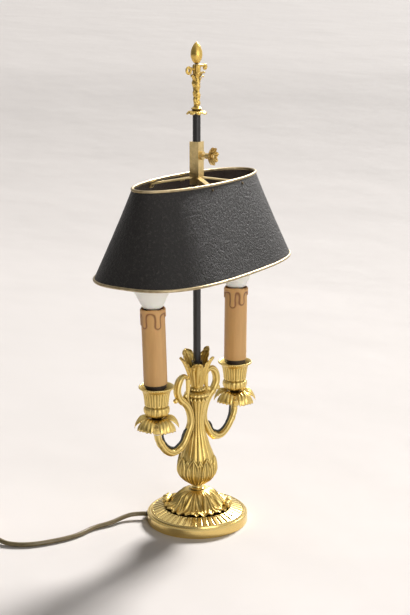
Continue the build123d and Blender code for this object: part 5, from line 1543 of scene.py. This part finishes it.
class LAMP_OT_finial(bpy.types.Operator):
    """Makes the finial of leaves, scrolls and a bud, and finishes the rod"""

    bl_idname = "lamp.finial"
    bl_label = "Rod and Finial"

    def execute(self, context):
        dress(black_rod(), "rod")
        skirt = rows_round(smooth_line(SKIRT_PROFILE, 48), 96, skirt_point)
        add_piece("leafy_skirt", skin(skirt, start=UP * (SKIRT_FOOT + 0.2), end=UP * SHAFT_FOOT),
                  bright_gilt(), "finial", ["finial_skirt"])

        column = rows_round(COLUMN_PROFILE, 64, column_point)
        shapes = [skin(column, start=UP * SHAFT_FOOT, end=UP * SHAFT_TOP)]
        shapes += [small_leaf(*leaf) for leaf in FINIAL_LEAVES]
        add_piece("leafy_shaft", join(*shapes, *ears()), bright_gilt(), "finial",
                  ["finial_shaft"])

        bud = rows_round([i / BUD_ROWS for i in range(1, BUD_ROWS)], 72, bud_point)
        add_piece("pine_bud", skin(bud, start=UP * SHAFT_TOP, end=UP * BUD_TOP), bright_gilt(), "finial",
                  ["finial_bud"])
        return {"FINISHED"}


# ================================================================ shade
KNOB_HEADING = -80.0  # where the clamp's screw points, in degrees round the rod
KNOB_REACH = 20.2
KNOB_Z = 423.0
KNOB_PETALS = 8
KNOB_TURN = 10.0
KNOB_THICKNESS = 1.1
KNOB_SET_BACK = 2.2
# The rosette's front: distance from its middle and height.
KNOB_FRONT = (
    (0.0, 3.0), (1.2, 2.9), (2.4, 2.2), (2.9, 1.0), (3.6, 0.3), (5.2, 0.5), (6.8, 1.2), (8.6, 2.3),
    (9.9, 3.4),
)


def rosette_point(ring, angle, middle, out, side):
    """A point of the rosette. ring is its distance from the middle and how far it stands forward."""
    distance, forward = ring
    place, _ = sector(angle, KNOB_PETALS, KNOB_TURN)
    petal = ease(distance, 3.2, 6.6)
    reach = distance - 1.5 * abs(place) ** 2.2 * petal
    ruffle = (0.75 * math.cos(math.pi * place) + 0.25 * math.cos(math.pi * place * 3)) * petal
    turn = math.radians(angle)
    return middle + out * (forward + ruffle) + (side * math.cos(turn) + UP * math.sin(turn)) * reach


class LAMP_OT_shade(bpy.types.Operator):
    """Finishes the oval shade, its rims, bars and sliding block, and makes the rosette of the clamp's knob"""

    bl_idname = "lamp.shade"
    bl_label = "Shade and Slide"

    def execute(self, context):
        dress(grained_paint(), "shade_skin")
        dress(rim_brass(), "shade_rim_top", "shade_rim_bottom")
        dress(brass_sheet(), "slide_block", "clamp_boss", "clamp_screw")
        dress(brass_sheet(), *(f"spider_bar_{end}_{side}" for end in ("front", "back") for side in SIDES))
        dress(dull_rivet(), "shade_rivets")

        out = round_axis(1.0, KNOB_HEADING, 0.0)
        side = round_axis(1.0, KNOB_HEADING + 90, 0.0)
        centre = out * KNOB_REACH + UP * KNOB_Z
        front = [(point.x, point.y - KNOB_SET_BACK) for point in smooth_line(KNOB_FRONT, 36)[1:]]
        back = [(distance, forward - KNOB_THICKNESS) for distance, forward in reversed(front)]
        rows = rows_round(front + back, 96, lambda ring, angle: rosette_point(ring, angle, centre, out, side))
        add_piece("rosette_knob", skin(rows, start=centre + out * 0.8, end=centre - out * 0.6), aged_gilt(),
                  "clamp", ["clamp_knob"])
        return {"FINISHED"}


# ================================================================ panel and start
class LAMP_PT_sidebar(bpy.types.Panel):
    """Lists the lamp's sizes, colours and operators"""

    bl_idname = "LAMP_PT_sidebar"
    bl_label = "Bouillotte Lamp"
    bl_space_type = "VIEW_3D"
    bl_region_type = "UI"
    bl_category = "Lamp"

    def draw(self, context):
        for settings in (context.scene.lamp_stage, context.scene.lamp_finish, context.scene.lamp_sizes):
            box = self.layout.box()
            for name in settings.__annotations__:
                box.prop(settings, name)
        for operator in OPERATORS:
            self.layout.operator(operator.bl_idname)


OPERATORS = (
    LAMP_OT_stage,
    LAMP_OT_cord,
    LAMP_OT_base,
    LAMP_OT_stem,
    LAMP_OT_leaf_cup,
    LAMP_OT_arms,
    LAMP_OT_drip_pans,
    LAMP_OT_candle_cups,
    LAMP_OT_candles,
    LAMP_OT_finial,
    LAMP_OT_shade,
)
SETTINGS = {"lamp_stage": LampStage, "lamp_finish": LampFinish, "lamp_sizes": LampSizes}


def register():
    for cls in (*SETTINGS.values(), *OPERATORS, LAMP_PT_sidebar):
        bpy.utils.register_class(cls)
    for name, cls in SETTINGS.items():
        setattr(bpy.types.Scene, name, PointerProperty(type=cls))


def unregister():
    for name in SETTINGS:
        delattr(bpy.types.Scene, name)
    for cls in (LAMP_PT_sidebar, *reversed(OPERATORS), *reversed(SETTINGS.values())):
        bpy.utils.unregister_class(cls)


def main():
    register()
    for operator in OPERATORS:
        getattr(bpy.ops.lamp, operator.bl_idname.split(".")[1])()


if __name__ == "__main__":
    main()
